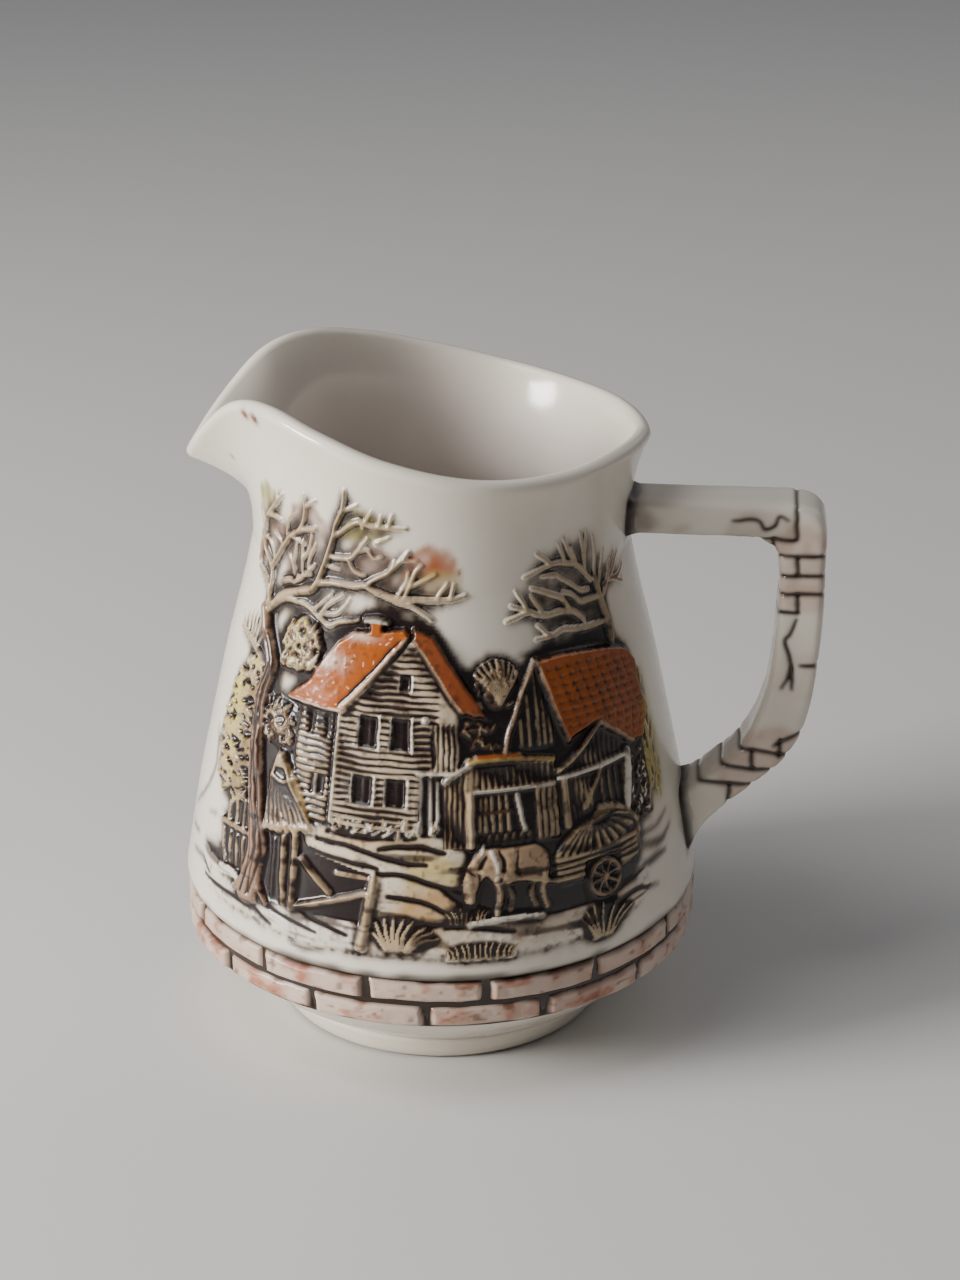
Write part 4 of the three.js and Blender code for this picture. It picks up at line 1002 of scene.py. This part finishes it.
def back_yard(s):
    hedge_outline = [(-46, 50), (-45, 60), (-41, 65), (-37, 61), (-36.2, 50)]
    s.dabs(hedge_outline, 150, 2.0, 0.75, 0.8, B_HEDGE, [TWIG, LIME * 0.5 + TWIG * 0.5], 0.9, 0.9, 0.35)
    s.stain((-42, 57), (4, 6), LIME, 0.45)
    s.shade([(-45, 50), (-41, 64), (-36.4, 60), (-36.4, 49)], 0.7)
    s.fill([(-31, 63), (-29.6, 63), (-24.4, 49), (-35, 49)], 0.5, B_STOOK, STRAW * 0.7, 0.35, 0.4)
    for k in range(13):
        share = k / 12
        s.stroke([(-30.9 + share, 63), (-32.6 + 4.8 * share, 55.5),
                  (-35 + 10.4 * share, 48.8 + s.rng.uniform(-0.6, 0.6))],
                 0.55, 0.8, 0.75, B_STOOK, TWIG, 0.55)
    s.stroke([(-32.8, 57.6), (-30.2, 57), (-27.8, 57.8)], 0.7, 0.7, 0.7, B_STOOK, TWIG, 0.7)
    s.fill([(-15, 34), (-15, 44), (13, 44), (13, 34)], 0.12, B_GATE, UMBER * 0.6, 0.8)
    for u in (-15.2, -0.1, 12.8):
        s.stroke([(u, 34), (u, 45)], 1.7, 1.7, 1.2, B_GATE, TWIG)
    for z in (37.7, 41.7):
        s.stroke([(-15, z), (0, z + 0.2), (13, z)], 1.3, 1.3, 1.0, B_GATE, TWIG)
    s.stroke([(-14.6, 37.4), (-0.6, 41.6)], 0.9, 0.9, 0.9, B_GATE, TWIG)


def draw_back():
    s = Sheet(-58, 58, 26, 112, 0.25, 11)
    back_ground(s)
    back_tree(s)
    back_cottage(s)
    back_yard(s)
    return s


# ---------- turning a sheet into pieces on the wall ----------
class Cloth:
    """A finished sheet wrapped round one side of the jug."""

    def __init__(self, sheet, side, grain_seed):
        self.sheet = sheet
        self.side = math.radians(side)
        self.height, self.paint = sheet.finished()
        shape = self.height.shape
        uneven = 0.03 * grain(shape, 3.0 / sheet.pitch, grain_seed)
        self.height = self.height + uneven * (self.height > 0.1)

    def at(self, theta, z):
        """Which points lie on the sheet, and the nearest cell of it to each."""
        turned = (theta - self.side + math.pi) % (2 * math.pi) - math.pi
        column = (turned * UNROLL_R - self.sheet.u[0]) / self.sheet.pitch
        row = (z - self.sheet.z[0]) / self.sheet.pitch
        rows, columns = self.height.shape
        on_sheet = (column > 0) & (column < columns - 1) & (row > 0) & (row < rows - 1)
        i = np.clip(np.round(row), 0, rows - 1).astype(int)
        j = np.clip(np.round(column), 0, columns - 1).astype(int)
        return on_sheet, i, j

    def pieces(self, names, surface):
        """A mesh for each label, all cut from one shared grid of points."""
        sheet = self.sheet
        raised = self.height > 0.07
        label = np.where(raised, sheet.piece, 0)
        for _ in range(3):
            grown = label.copy()
            for axis, step in ((0, 1), (0, -1), (1, 1), (1, -1)):
                near = np.roll(label, step, axis)
                grown = np.where((grown == 0) & (near > 0), near, grown)
            label = grown
        label[0], label[-1], label[:, 0], label[:, -1] = 0, 0, 0, 0
        owner = np.maximum.reduce([label[:-1, :-1], label[1:, :-1], label[:-1, 1:], label[1:, 1:]])
        inner = (label[:-1, :-1] > 0) & (label[1:, :-1] > 0) & (label[:-1, 1:] > 0) & (label[1:, 1:] > 0)
        owner = np.where(inner, label[:-1, :-1], owner)
        level = np.maximum(self.height, 0.05)
        level = np.where(label > 0, level, -0.5)
        theta = self.side + sheet.u[None, :] / UNROLL_R + 0 * sheet.z[:, None]
        z = sheet.z[:, None] + 0 * sheet.u[None, :]
        points = surface(theta, z, level)
        lit = surface(theta, z, np.maximum(self.height, 0))
        across = np.gradient(lit, axis=1)
        up = np.gradient(lit, axis=0)
        normals = np.cross(across, up)
        normals /= np.linalg.norm(normals, axis=-1, keepdims=True)
        made = {}
        for k, name in enumerate(names[1:], 1):
            rows, columns = np.nonzero(owner == k)
            corners = np.stack([(rows, columns), (rows, columns + 1),
                                (rows + 1, columns + 1), (rows + 1, columns)])
            flat = corners[:, 0] * label.shape[1] + corners[:, 1]
            used, faces = np.unique(flat.T, return_inverse=True)
            made[name] = new_mesh("relief_" + name + "_glazed", points.reshape(-1, 3)[used],
                                  faces.reshape(-1, 4),
                                  self.paint.reshape(-1, 3)[used], normals.reshape(-1, 3)[used])
        return made


def new_mesh(name, points, quads, paint, normals=None, triangles=None):
    mesh = bpy.data.meshes.new(name)
    mesh.vertices.add(len(points))
    mesh.vertices.foreach_set("co", to_scene(points).astype(np.float32).ravel())
    corners = quads.ravel()
    starts = np.arange(0, corners.size, 4)
    if triangles is not None:
        starts = np.concatenate([starts, corners.size + np.arange(0, triangles.size, 3)])
        corners = np.concatenate([corners, triangles.ravel()])
    mesh.loops.add(corners.size)
    mesh.loops.foreach_set("vertex_index", corners.astype(np.int32))
    mesh.polygons.add(starts.size)
    mesh.polygons.foreach_set("loop_start", starts.astype(np.int32))
    mesh.update(calc_edges=True)
    mesh.validate()
    mesh.polygons.foreach_set("use_smooth", np.ones(len(mesh.polygons), bool))
    colour = mesh.color_attributes.new("paint", "FLOAT_COLOR", "POINT")
    rgba = np.column_stack([paint, np.ones(len(paint))])
    colour.data.foreach_set("color", rgba.astype(np.float32).ravel())
    if normals is not None:
        mesh.normals_split_custom_set_from_vertices(normals.tolist())
    piece = bpy.data.objects.new(name, mesh)
    bpy.context.collection.objects.link(piece)
    return piece


def ring_faces(rows, columns):
    """Quads of a grid of points that closes round its columns."""
    i, j = np.meshgrid(np.arange(rows - 1), np.arange(columns), indexing="ij")
    after = (j + 1) % columns
    here, above = i * columns, (i + 1) * columns
    return np.stack([here + j, here + after, above + after, above + j], -1).reshape(-1, 4)


def sampled(field, row, column):
    """Bilinear value of a field, held at its edges."""
    rows, columns = field.shape[:2]
    row = np.clip(row, 0, rows - 1.001)
    column = np.clip(column, 0, columns - 1.001)
    i, j = row.astype(int), column.astype(int)
    fr, fc = row - i, column - j
    if field.ndim == 3:
        fr, fc = fr[..., None], fc[..., None]
    near = field[i, j] * (1 - fc) + field[i, j + 1] * fc
    far = field[i + 1, j] * (1 - fc) + field[i + 1, j + 1] * fc
    return near * (1 - fr) + far * fr


def outer_surface(theta, z, proud):
    """A point on the outside of the wall at height z, then `proud` square to it."""
    slope, length = wall_lean(theta, z)
    return wall_point(theta, z + WALL / 2 * slope / length, WALL / 2 + proud)


def blend_to(paint, amount, colour):
    amount = np.clip(amount, 0, 1)[..., None]
    return paint * (1 - amount) + np.asarray(colour) * amount


# ---------- the jug's own wall ----------
# Colour of the inside, painted darker than the glaze as painted shade within the jug.
INSIDE = np.array([0.66, 0.585, 0.52])
# Middle of the wall under the border: radius, height, from the centre outwards.
UNDERSIDE = [(0.6, 5.8), (15, 5.8), (26.5, 5.8), (31.2, 6.5), (37, 10.6), (42.2, 15.2), (44.6, 18.5),
             (44.6, 25)]
COLUMNS = 456
WALL_START = 26.4


def underside_rows(out, count):
    line = curved(UNDERSIDE, 6)
    line = line[np.linspace(0, len(line) - 1, count).astype(int)]
    run = np.gradient(line, axis=0)
    run /= np.hypot(run[:, 0], run[:, 1])[:, None]
    return line[:, 0] + out * run[:, 1], line[:, 1] - out * run[:, 0]


CHIP = np.array([0.16, 0.05, 0.012])
# Small brown chips and specks in the glaze: degrees round, height, size.
CHIPS = [(-147.5, 117.5, 0.9), (-143.6, 117.3, 1.0), (-166, 106, 0.4), (-79, 95.5, 0.35), (-52, 91, 0.35)]
# Where the handle meets the wall: middle height, half its height.
HANDLE_ENDS = ((96.2, 3.2), (37.5, 5))
BEHIND_BRICKS_Z = 15.8
GROOVE_Z = 27.4  # where the dark line above the border begins
FLOOR_ROWS = 14
OUTER_ROWS = 146
INNER_ROWS = 34
LIP_STEPS = 9


def speckled(paint, theta, point):
    """Paint with the small chips and specks in it."""
    for turn, height, size in CHIPS:
        across = (theta - math.radians(turn) + math.pi) % (2 * math.pi) - math.pi
        away = np.hypot(across * 40, point[:, 2] - height)
        paint = blend_to(paint, 1.3 * np.exp(-(away / size) ** 2), CHIP)
    return paint


def skin_paint(base, cloths, theta, point, streak):
    """Outside paint: the scenes' wash, the dark groove above the border and round the handle's ends."""
    paint = base.copy()
    for cloth in cloths:
        on_sheet, i, j = cloth.at(theta, point[:, 2])
        paint = np.where(on_sheet[:, None], cloth.soft_paint[i, j], paint)
    groove = smooth(GROOVE_Z - point[:, 2] + 0.5 * streak, 0, 1.6)
    paint = blend_to(paint, 0.85 * groove, WASH * 2)
    for middle, half in HANDLE_ENDS:
        beyond_y = np.maximum(np.abs(point[:, 1]) - HANDLE_HALF, 0)
        beyond_z = np.maximum(np.abs(point[:, 2] - middle) - half, 0)
        near = np.exp(-(np.hypot(beyond_y, beyond_z) / 1.2) ** 2) * (point[:, 0] > 0)
        paint = blend_to(paint, 0.8 * near, WASH * 3)
    return speckled(paint, theta, point)


def outside_rows(theta, base, cloths):
    """Rings and paint from the middle of the underside up the outside to the lip."""
    rows, paints = [], []
    for r, z in zip(*underside_rows(WALL / 2, FLOOR_ROWS)):
        rows.append(ring(theta, r, z))
        hidden = z > BEHIND_BRICKS_Z
        # The underside is painted a little darker than the glaze, painted shade under the jug.
        paints.append(np.tile(WASH * 2, (COLUMNS, 1)) if hidden else base * 0.96)
    streak = grain((160, COLUMNS), 5, 3)
    lip = lip_height(theta)
    for k, share in enumerate(np.linspace(0, 1, OUTER_ROWS)):
        rows.append(wall_point(theta, WALL_START + share * (lip - WALL_START), WALL / 2))
        paints.append(skin_paint(base, cloths, theta, rows[-1], streak[k]))
    return rows, paints


def lip_rows(theta, base):
    """Rings and paint of the half round of the lip, from outside to inside."""
    lip = lip_height(theta)
    edge = wall_point(theta, lip, 0)
    outward = wall_point(theta, lip, WALL / 2) - edge
    upward = wall_point(theta, lip + 0.1, 0) - edge
    upward *= (WALL / 2) / np.linalg.norm(upward, axis=-1, keepdims=True)
    angles = np.linspace(0, math.pi, LIP_STEPS)[1:-1]
    rows = [edge + outward * math.cos(angle) + upward * math.sin(angle) for angle in angles]
    return rows, [speckled(base * 1.02, theta, row) for row in rows]


def inside_rows(theta, base):
    """Rings and paint from the lip down the inside to the middle of the floor."""
    rows, paints = [], []
    lip = lip_height(theta)
    for share in np.linspace(1, 0, INNER_ROWS):
        z = WALL_START + share * (lip - WALL_START)
        rows.append(wall_point(theta, z, -WALL / 2))
        # Painted shade: the inside is painted darker further below the lip.
        paints.append(blend_to(base, smooth(np.clip(lip - z, 0, 40), 0, 12), INSIDE))
    for r, z in list(zip(*underside_rows(-WALL / 2, FLOOR_ROWS)))[::-1]:
        rows.append(ring(theta, r, z))
        paints.append(np.tile(INSIDE, (COLUMNS, 1)))
    return rows, paints


def jug_body(cloths):
    theta = np.arange(COLUMNS) * 2 * math.pi / COLUMNS
    base = np.tile(GLAZE, (COLUMNS, 1))
    parts = [outside_rows(theta, base, cloths), lip_rows(theta, base), inside_rows(theta, base)]
    rows = [row for part_rows, _ in parts for row in part_rows]
    paints = [paint for _, part_paints in parts for paint in part_paints]
    points = np.concatenate([*rows, [[0, 0, rows[0][0, 2]], [0, 0, rows[-1][0, 2]]]])
    paint = np.concatenate([*paints, [GLAZE, INSIDE]])
    around = np.arange(COLUMNS)
    after = (around + 1) % COLUMNS
    under, floor = len(points) - 2, len(points) - 1
    last_row = floor - 1 - COLUMNS
    caps = np.concatenate([
        np.stack([around * 0 + under, after, around], -1),
        np.stack([around * 0 + floor, around + last_row, after + last_row], -1)])
    return new_mesh("jug_body_glazed", points, ring_faces(len(rows), COLUMNS), paint, triangles=caps)


# ---------- the brick border and the foot ----------
BRICKS = 14
LOWER_STAGGER = 0.62
UPPER_STAGGER = 0.107


def brick_course(name, z_low, z_high, stagger, seed):
    columns, levels = 720, 18
    theta = np.arange(columns) * 2 * math.pi / columns
    z = np.linspace(z_low, z_high, levels)
    turn, height = np.meshgrid(theta, z)
    noise = grain(turn.shape, 7, seed)
    noise = np.where(np.arange(columns) < 8, noise * np.arange(columns) / 8, noise)
    fine = grain(turn.shape, 2.4, seed + 1)
    brick = turn / (2 * math.pi) * BRICKS - stagger
    length = 2 * math.pi * BRICK_R / BRICKS
    lean = 0.5 * np.sin(np.round(brick) * 5.1) * (height - z_low) / (z_high - z_low)
    to_joint = np.abs(brick * length + lean - np.round(brick) * length)
    to_edge = np.minimum(height - z_low, z_high - height) + 0.12
    inset = 0.16 + 0.22 * noise
    face = smooth(np.minimum(to_joint * 0.8, to_edge) - inset, 0, 1.05)
    number = np.floor(brick)
    proud = 0.35 * np.sin(number * 3.7 + seed) + 0.22 * noise + 0.06 * fine
    radius = BRICK_R - 0.55 - 1.25 * (1 - face) + proud * face * 0.7
    tone = 0.5 + 0.5 * np.sin(number * 2.3 + seed * 1.7)
    paint = np.tile(GLAZE, turn.shape + (1,))
    paint = blend_to(paint, 0.5 + 0.4 * tone * smooth(noise, -0.7, 0.6), BRICK)
    paint = blend_to(paint, 0.6 * smooth(noise + 0.5 * fine, 0.3, 1.0), RUST * 1.5)
    spots = smooth(grain(turn.shape, 3.1, seed + 2), 0.5, 0.85) * 0.6
    paint = blend_to(paint, spots, UMBER)
    paint = blend_to(paint, (1 - smooth(face, 0.1, 0.8)) * 1.05, WASH * 1.2 + UMBER * 0.1)
    points = np.stack([radius * np.cos(turn), radius * np.sin(turn), height], -1)
    inner_low = points[0] * np.array([0.955, 0.955, 1])
    inner_high = points[-1] * np.array([0.955, 0.955, 1])
    rows = np.concatenate([[inner_low], points, [inner_high]])
    paint = np.concatenate([[np.tile(WASH * 2, (columns, 1))], paint, [np.tile(WASH * 2, (columns, 1))]])
    return new_mesh(name, rows.reshape(-1, 3), ring_faces(len(rows), columns), paint.reshape(-1, 3))


def foot_ring():
    columns = 200
    theta = np.arange(columns) * 2 * math.pi / columns
    profile = [(25.4, 4.6), (25.4, 1.2), (25.9, 0.3), (26.6, 0), (28.9, 0), (29.7, 0.25), (30.2, 0.8),
               (30.7, 2.2),
               (31.3, 3.6), (31.9, 4.9), (31.2, 5.3)]
    rows = [ring(theta, r, z) for r, z in profile]
    # Painted shade: the glaze is painted darker towards the foot's standing edge, under the jug.
    tone = [0.9, 0.8, 0.62, 0.5, 0.5, 0.72, 0.92, 1, 1, 1, 0.98]
    paint = [np.tile(GLAZE * k, (columns, 1)) for k in tone]
    return new_mesh("foot_ring_glazed", np.concatenate(rows), ring_faces(len(rows), columns),
                    np.concatenate(paint))


# ---------- the handle, a squared bar with brick joints and a crack cut in it ----------
HANDLE_OUTER = [
    (28, 99.3), (40, 99.35), (51, 99.4), (58, 99.5), (63.2, 99.3), (66.4, 98), (67.8, 95), (68, 88),
    (68.1, 78),
    (67.7, 70), (66.8, 62), (65.2, 55.6), (62.4, 50.6), (58, 46.2), (53, 41.7), (49.2, 37.6),
    (46.6, 33.4), (44, 31.4)]
HANDLE_INNER = [
    (28, 93.1), (40, 93.1), (50, 93.1), (54.4, 93.1), (57, 92.3), (58.9, 90.6), (59.8, 87.6),
    (59.9, 82.6), (59.7, 76),
    (59.4, 70), (58.6, 64), (57, 58.4), (54.4, 53.2), (50.6, 49.2), (46, 45.4), (42.6, 43), (39.4, 41.6),
    (37, 41)]
# Brick joints and cracks cut into the handle: distance from the axis, height.
HANDLE_JOINTS = [
    [(62.5, 100), (62.5, 96), (62.6, 93.4), (58.8, 93.3), (55.7, 93.1)], [(58.6, 93.3), (58.8, 88)],
    [(58.8, 90.1), (62, 90.2), (69, 90.4)], [(59.4, 86.4), (63, 86.5), (69, 86.7)],
    [(59.4, 83), (63, 83.1), (69, 83.3)],
    [(59, 79.4), (63.8, 79.6)], [(63, 89.9), (63.1, 86.5)], [(63.3, 83), (63.5, 79.6)],
    [(63.4, 78.4), (62.3, 75.5), (61.5, 74.2), (62.2, 71.7), (62.8, 69.2), (62.2, 66.9), (61.4, 65)],
    [(62.8, 69.2), (63.3, 65)], [(64.4, 69.5), (69, 69.6)],
    [(60.4, 53.8), (61.8, 54.7), (66, 56.8)], [(54, 53), (57, 52.7), (61.3, 52.3)],
    [(61.6, 55.1), (61.7, 51.6)],
    [(61.3, 52.1), (65, 51.8)], [(56.7, 52.5), (56.8, 49.1)], [(51, 49.6), (54.7, 49.2), (61.5, 48.7)],
    [(47, 46.2), (52.7, 45.9), (58.6, 45.7)], [(52.8, 45.7), (52.9, 41)]]
HANDLE_AROUND = 140
HANDLE_STEPS = 34
HANDLE_SQUARENESS = 6
HANDLE_SCRATCH = [(51.4, 96.5), (55.6, 96.7), (57, 95.1), (58.7, 95.7), (59.5, 97.6), (61.2, 96.7)]


def handle_sheet():
    s = Sheet(26, 70, 30, 101, 0.15, 21)
    for line in HANDLE_JOINTS:
        s.carve(line, 0.85, 0.42, 1.0)
    s.carve(HANDLE_SCRATCH, 0.7, 0.3, 1.0)
    s.patch([(59, 80), (58, 93), (63, 96), (68.5, 94), (69, 80)], BRICK, 0.5)
    s.patch([(50, 47), (56, 56), (62, 58), (66, 55), (60, 46), (54, 42)], BRICK, 0.5)
    s.patch([(60, 64), (60, 72), (68, 72), (67, 63)], BRICK, 0.15)
    s.patch([(31, 92), (31, 100), (36, 99), (39, 95), (36, 93)], UMBER, 0.75, 1.5)
    s.patch([(38, 94), (44, 95.4), (44, 94)], UMBER * 2, 0.4, 1)
    s.patch([(50, 93), (51, 97), (58, 98.5), (63, 97), (62, 94)], UMBER * 2, 0.35, 1)
    return s


def handle_grid(sheet):
    """Handle surface points, their normals, paint and reach from the jug's wall."""
    around = HANDLE_AROUND
    outer, inner = curved(HANDLE_OUTER, HANDLE_STEPS), curved(HANDLE_INNER, HANDLE_STEPS)
    angle = np.linspace(0, 2 * math.pi, 2881)
    square = 2 / HANDLE_SQUARENESS
    across = np.sign(np.cos(angle)) * np.abs(np.cos(angle)) ** square
    wide = np.sign(np.sin(angle)) * np.abs(np.sin(angle)) ** square * (HANDLE_HALF - 0.15)
    run = np.concatenate([[0], np.cumsum(np.hypot(np.diff(across) * 3.6, np.diff(wide)))])
    even = np.arange(around) * run[-1] / around
    across, wide = np.interp(even, run, across), np.interp(even, run, wide)
    middle, half = (outer + inner) / 2, (outer - inner) / 2
    spot = middle[:, None, :] + half[:, None, :] * across[None, :, None]
    points = np.stack([spot[..., 0], 0 * spot[..., 0] + wide[None, :], spot[..., 1]], -1)
    along_path = np.gradient(points, axis=0)
    round_path = (np.roll(points, -1, 1) - np.roll(points, 1, 1)) / 2
    normals = np.cross(round_path, along_path)
    normals /= np.linalg.norm(normals, axis=-1, keepdims=True) + 1e-9
    outward = points - np.stack([middle[:, 0], 0 * middle[:, 0], middle[:, 1]], -1)[:, None]
    normals *= np.sign((normals * outward).sum(-1, keepdims=True))
    row = (points[..., 2] - sheet.z[0]) / sheet.pitch
    column = (points[..., 0] - sheet.u[0]) / sheet.pitch
    wobble = 0.16 * grain(points.shape[:2], 17, 41) * np.sin(np.pi * np.arange(around) / around)[None, :]
    cut = sampled(blurred(sheet.height, 0.6), row, column)
    wash = sampled(blurred(sheet.wash, 0.7), row, column)
    paint = sampled(sheet.paint, row, column)
    paint = blend_to(paint, wash * 1.3, WASH * 2)
    points = points + normals * (cut + wobble)[..., None]
    reach = np.hypot(points[..., 0], points[..., 1]) - wall_radius(0 * row, points[..., 2]) - WALL / 2
    return points, normals, paint, reach


def part_of_grid(name, points, paint, kept):
    """The faces of a closed-round grid whose corners are all kept."""
    faces = ring_faces(*kept.shape)
    faces = faces[kept.reshape(-1)[faces].all(1)]
    used, faces = np.unique(faces, return_inverse=True)
    return new_mesh(name, points.reshape(-1, 3)[used], faces.reshape(-1, 4), paint.reshape(-1, 3)[used])


def handle(sheet):
    points, _, paint, reach = handle_grid(sheet)
    dark = np.exp(-(np.clip(reach, 0, 9) / 1.6) ** 2)
    paint = blend_to(paint, 0.75 * dark, UMBER * 0.7)
    return part_of_grid("handle_glazed", points, paint, reach > -2)


def slip_joint(sheet, name, upper):
    """The uneven dark fillet of slip where the handle meets the wall."""
    points, normals, paint, reach = handle_grid(sheet)
    spread = 2.6 + 0.7 * grain(reach.shape, 9, 51)
    growth = 0.9 * np.clip(1 - (reach + 0.2) / spread, 0, 1.2) ** 2
    points = points + normals * (growth - 0.05)[..., None]
    paint = blend_to(paint, 1.05 * np.exp(-(np.clip(reach, 0, 9) / 1.7) ** 2), WASH * 2)
    half = len(points) // 2
    near = (reach > -1.2) & (reach < spread)
    near[half:] &= not upper
    near[:half] &= upper
    return part_of_grid(name, points, paint, near)


# ---------- finishes ----------
def add_node(tree, kind, values):
    node = tree.nodes.new(kind)
    for socket, value in values.items():
        node.inputs[socket].default_value = value
    return node


def glaze(name, roughness, mottle=0.08, grain_size=900, bump=0.06, shine=0.45):
    """Shiny glaze over the painted colour, a little uneven."""
    material = bpy.data.materials.new(name)
    material.use_nodes = True
    tree = material.node_tree
    shader = tree.nodes["Principled BSDF"]
    shader.inputs["IOR"].default_value = 1.5
    shader.inputs["Specular IOR Level"].default_value = shine
    shader.inputs["Coat Weight"].default_value = 0.12
    shader.inputs["Coat Roughness"].default_value = 0.06
    paint = tree.nodes.new("ShaderNodeAttribute")
    paint.attribute_name = "paint"
    cloud = add_node(tree, "ShaderNodeTexNoise", {"Scale": 120, "Detail": 5})
    tone = add_node(tree, "ShaderNodeMapRange", {"To Min": 1 - mottle, "To Max": 1 + mottle * 0.5})
    tint = tree.nodes.new("ShaderNodeVectorMath")
    tint.operation = "SCALE"
    rough = add_node(tree, "ShaderNodeMapRange", {"To Min": roughness * 0.75, "To Max": roughness * 1.35})
    fine = add_node(tree, "ShaderNodeTexNoise", {"Scale": grain_size, "Detail": 3})
    relief = add_node(tree, "ShaderNodeBump", {"Strength": bump, "Distance": 0.3 * MM})
    place = tree.nodes.new("ShaderNodeTexCoord")
    for source, output, target, socket in (
            (place, "Object", cloud, "Vector"), (place, "Object", fine, "Vector"),
            (cloud, "Fac", tone, "Value"), (paint, "Color", tint, 0), (tone, "Result", tint, "Scale"),
            (tint, "Vector", shader, "Base Color"), (cloud, "Fac", rough, "Value"),
            (rough, "Result", shader, "Roughness"), (fine, "Fac", relief, "Height"),
            (relief, "Normal", shader, "Normal")):
        tree.links.new(source.outputs[output], target.inputs[socket])
    return material


def plain(name, colour, roughness):
    material = bpy.data.materials.new(name)
    material.use_nodes = True
    shader = material.node_tree.nodes["Principled BSDF"]
    shader.inputs["Base Color"].default_value = (*colour, 1)
    shader.inputs["Roughness"].default_value = roughness
    return material


def put(piece, node, material):
    piece.data.materials.append(material)
    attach(piece, "root")
    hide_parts(node)


def build_jug():
    skin = glaze("glaze", 0.16)
    relief = glaze("relief_glaze", 0.22, 0.14, 1600, 0.12, 0.32)
    bisque = glaze("brick_glaze", 0.3, 0.2, 1400, 0.2, 0.32)
    cloths = [Cloth(draw_front(), -90, 61), Cloth(draw_back(), 90, 67)]
    for cloth in cloths:
        cloth.soft_paint = blurred(cloth.paint, 1)
    for cloth, names in zip(cloths, (FRONT, BACK)):
        for name, piece in cloth.pieces(names, outer_surface).items():
            put(piece, "relief_" + name, relief)
    put(jug_body(cloths), "jug_body", skin)
    lower = brick_course("brick_course_lower_glazed", BAND_LOW - 0.4, BAND_MID, LOWER_STAGGER, 31)
    upper = brick_course("brick_course_upper_glazed", BAND_MID, BAND_HIGH + 0.5, UPPER_STAGGER, 37)
    put(lower, "brick_course_lower", bisque)
    put(upper, "brick_course_upper", bisque)
    put(foot_ring(), "foot_ring", skin)
    marks = handle_sheet()
    put(handle(marks), "handle", skin)
    put(slip_joint(marks, "slip_joint_upper_glazed", True), "slip_joint_upper", bisque)
    put(slip_joint(marks, "slip_joint_lower_glazed", False), "slip_joint_lower", bisque)


# ---------- the table and the light ----------
def area_light(name, place, aim, width, height, power, colour):
    data = bpy.data.lights.new(name, "AREA")
    data.shape = "RECTANGLE"
    data.size, data.size_y = width, height
    data.energy = power
    data.color = colour
    light = bpy.data.objects.new(name, data)
    bpy.context.collection.objects.link(light)
    light.location = place
    light.rotation_euler = (Vector(aim) - Vector(place)).to_track_quat("-Z", "Y").to_euler()


def put_stage():
    bpy.ops.mesh.primitive_plane_add(size=6, location=(0, 0, -0.0002))
    floor = bpy.context.object
    floor.name = "table_top"
    floor.data.materials.append(plain("table_paint", (0.62, 0.60, 0.57), 0.55))
    world = bpy.data.worlds.new("studio")
    world.use_nodes = True
    world.node_tree.nodes["Background"].inputs["Color"].default_value = (0.86, 0.9, 1.0, 1)
    world.node_tree.nodes["Background"].inputs["Strength"].default_value = 0.2
    bpy.context.scene.world = world
    centre = (AXIS_X, 0, 0.06)
    area_light("window", (-0.80, -0.36, 0.29), centre, 0.30, 0.30, 15, (1.0, 0.99, 0.97))
    area_light("sky", (-0.55, -0.25, 0.85), centre, 0.6, 0.6, 5.5, (0.97, 0.98, 1.0))
    area_light("room", (0.6, 0.5, 0.7), centre, 0.8, 0.8, 1.2, (1.0, 0.96, 0.9))


build_jug()
put_stage()
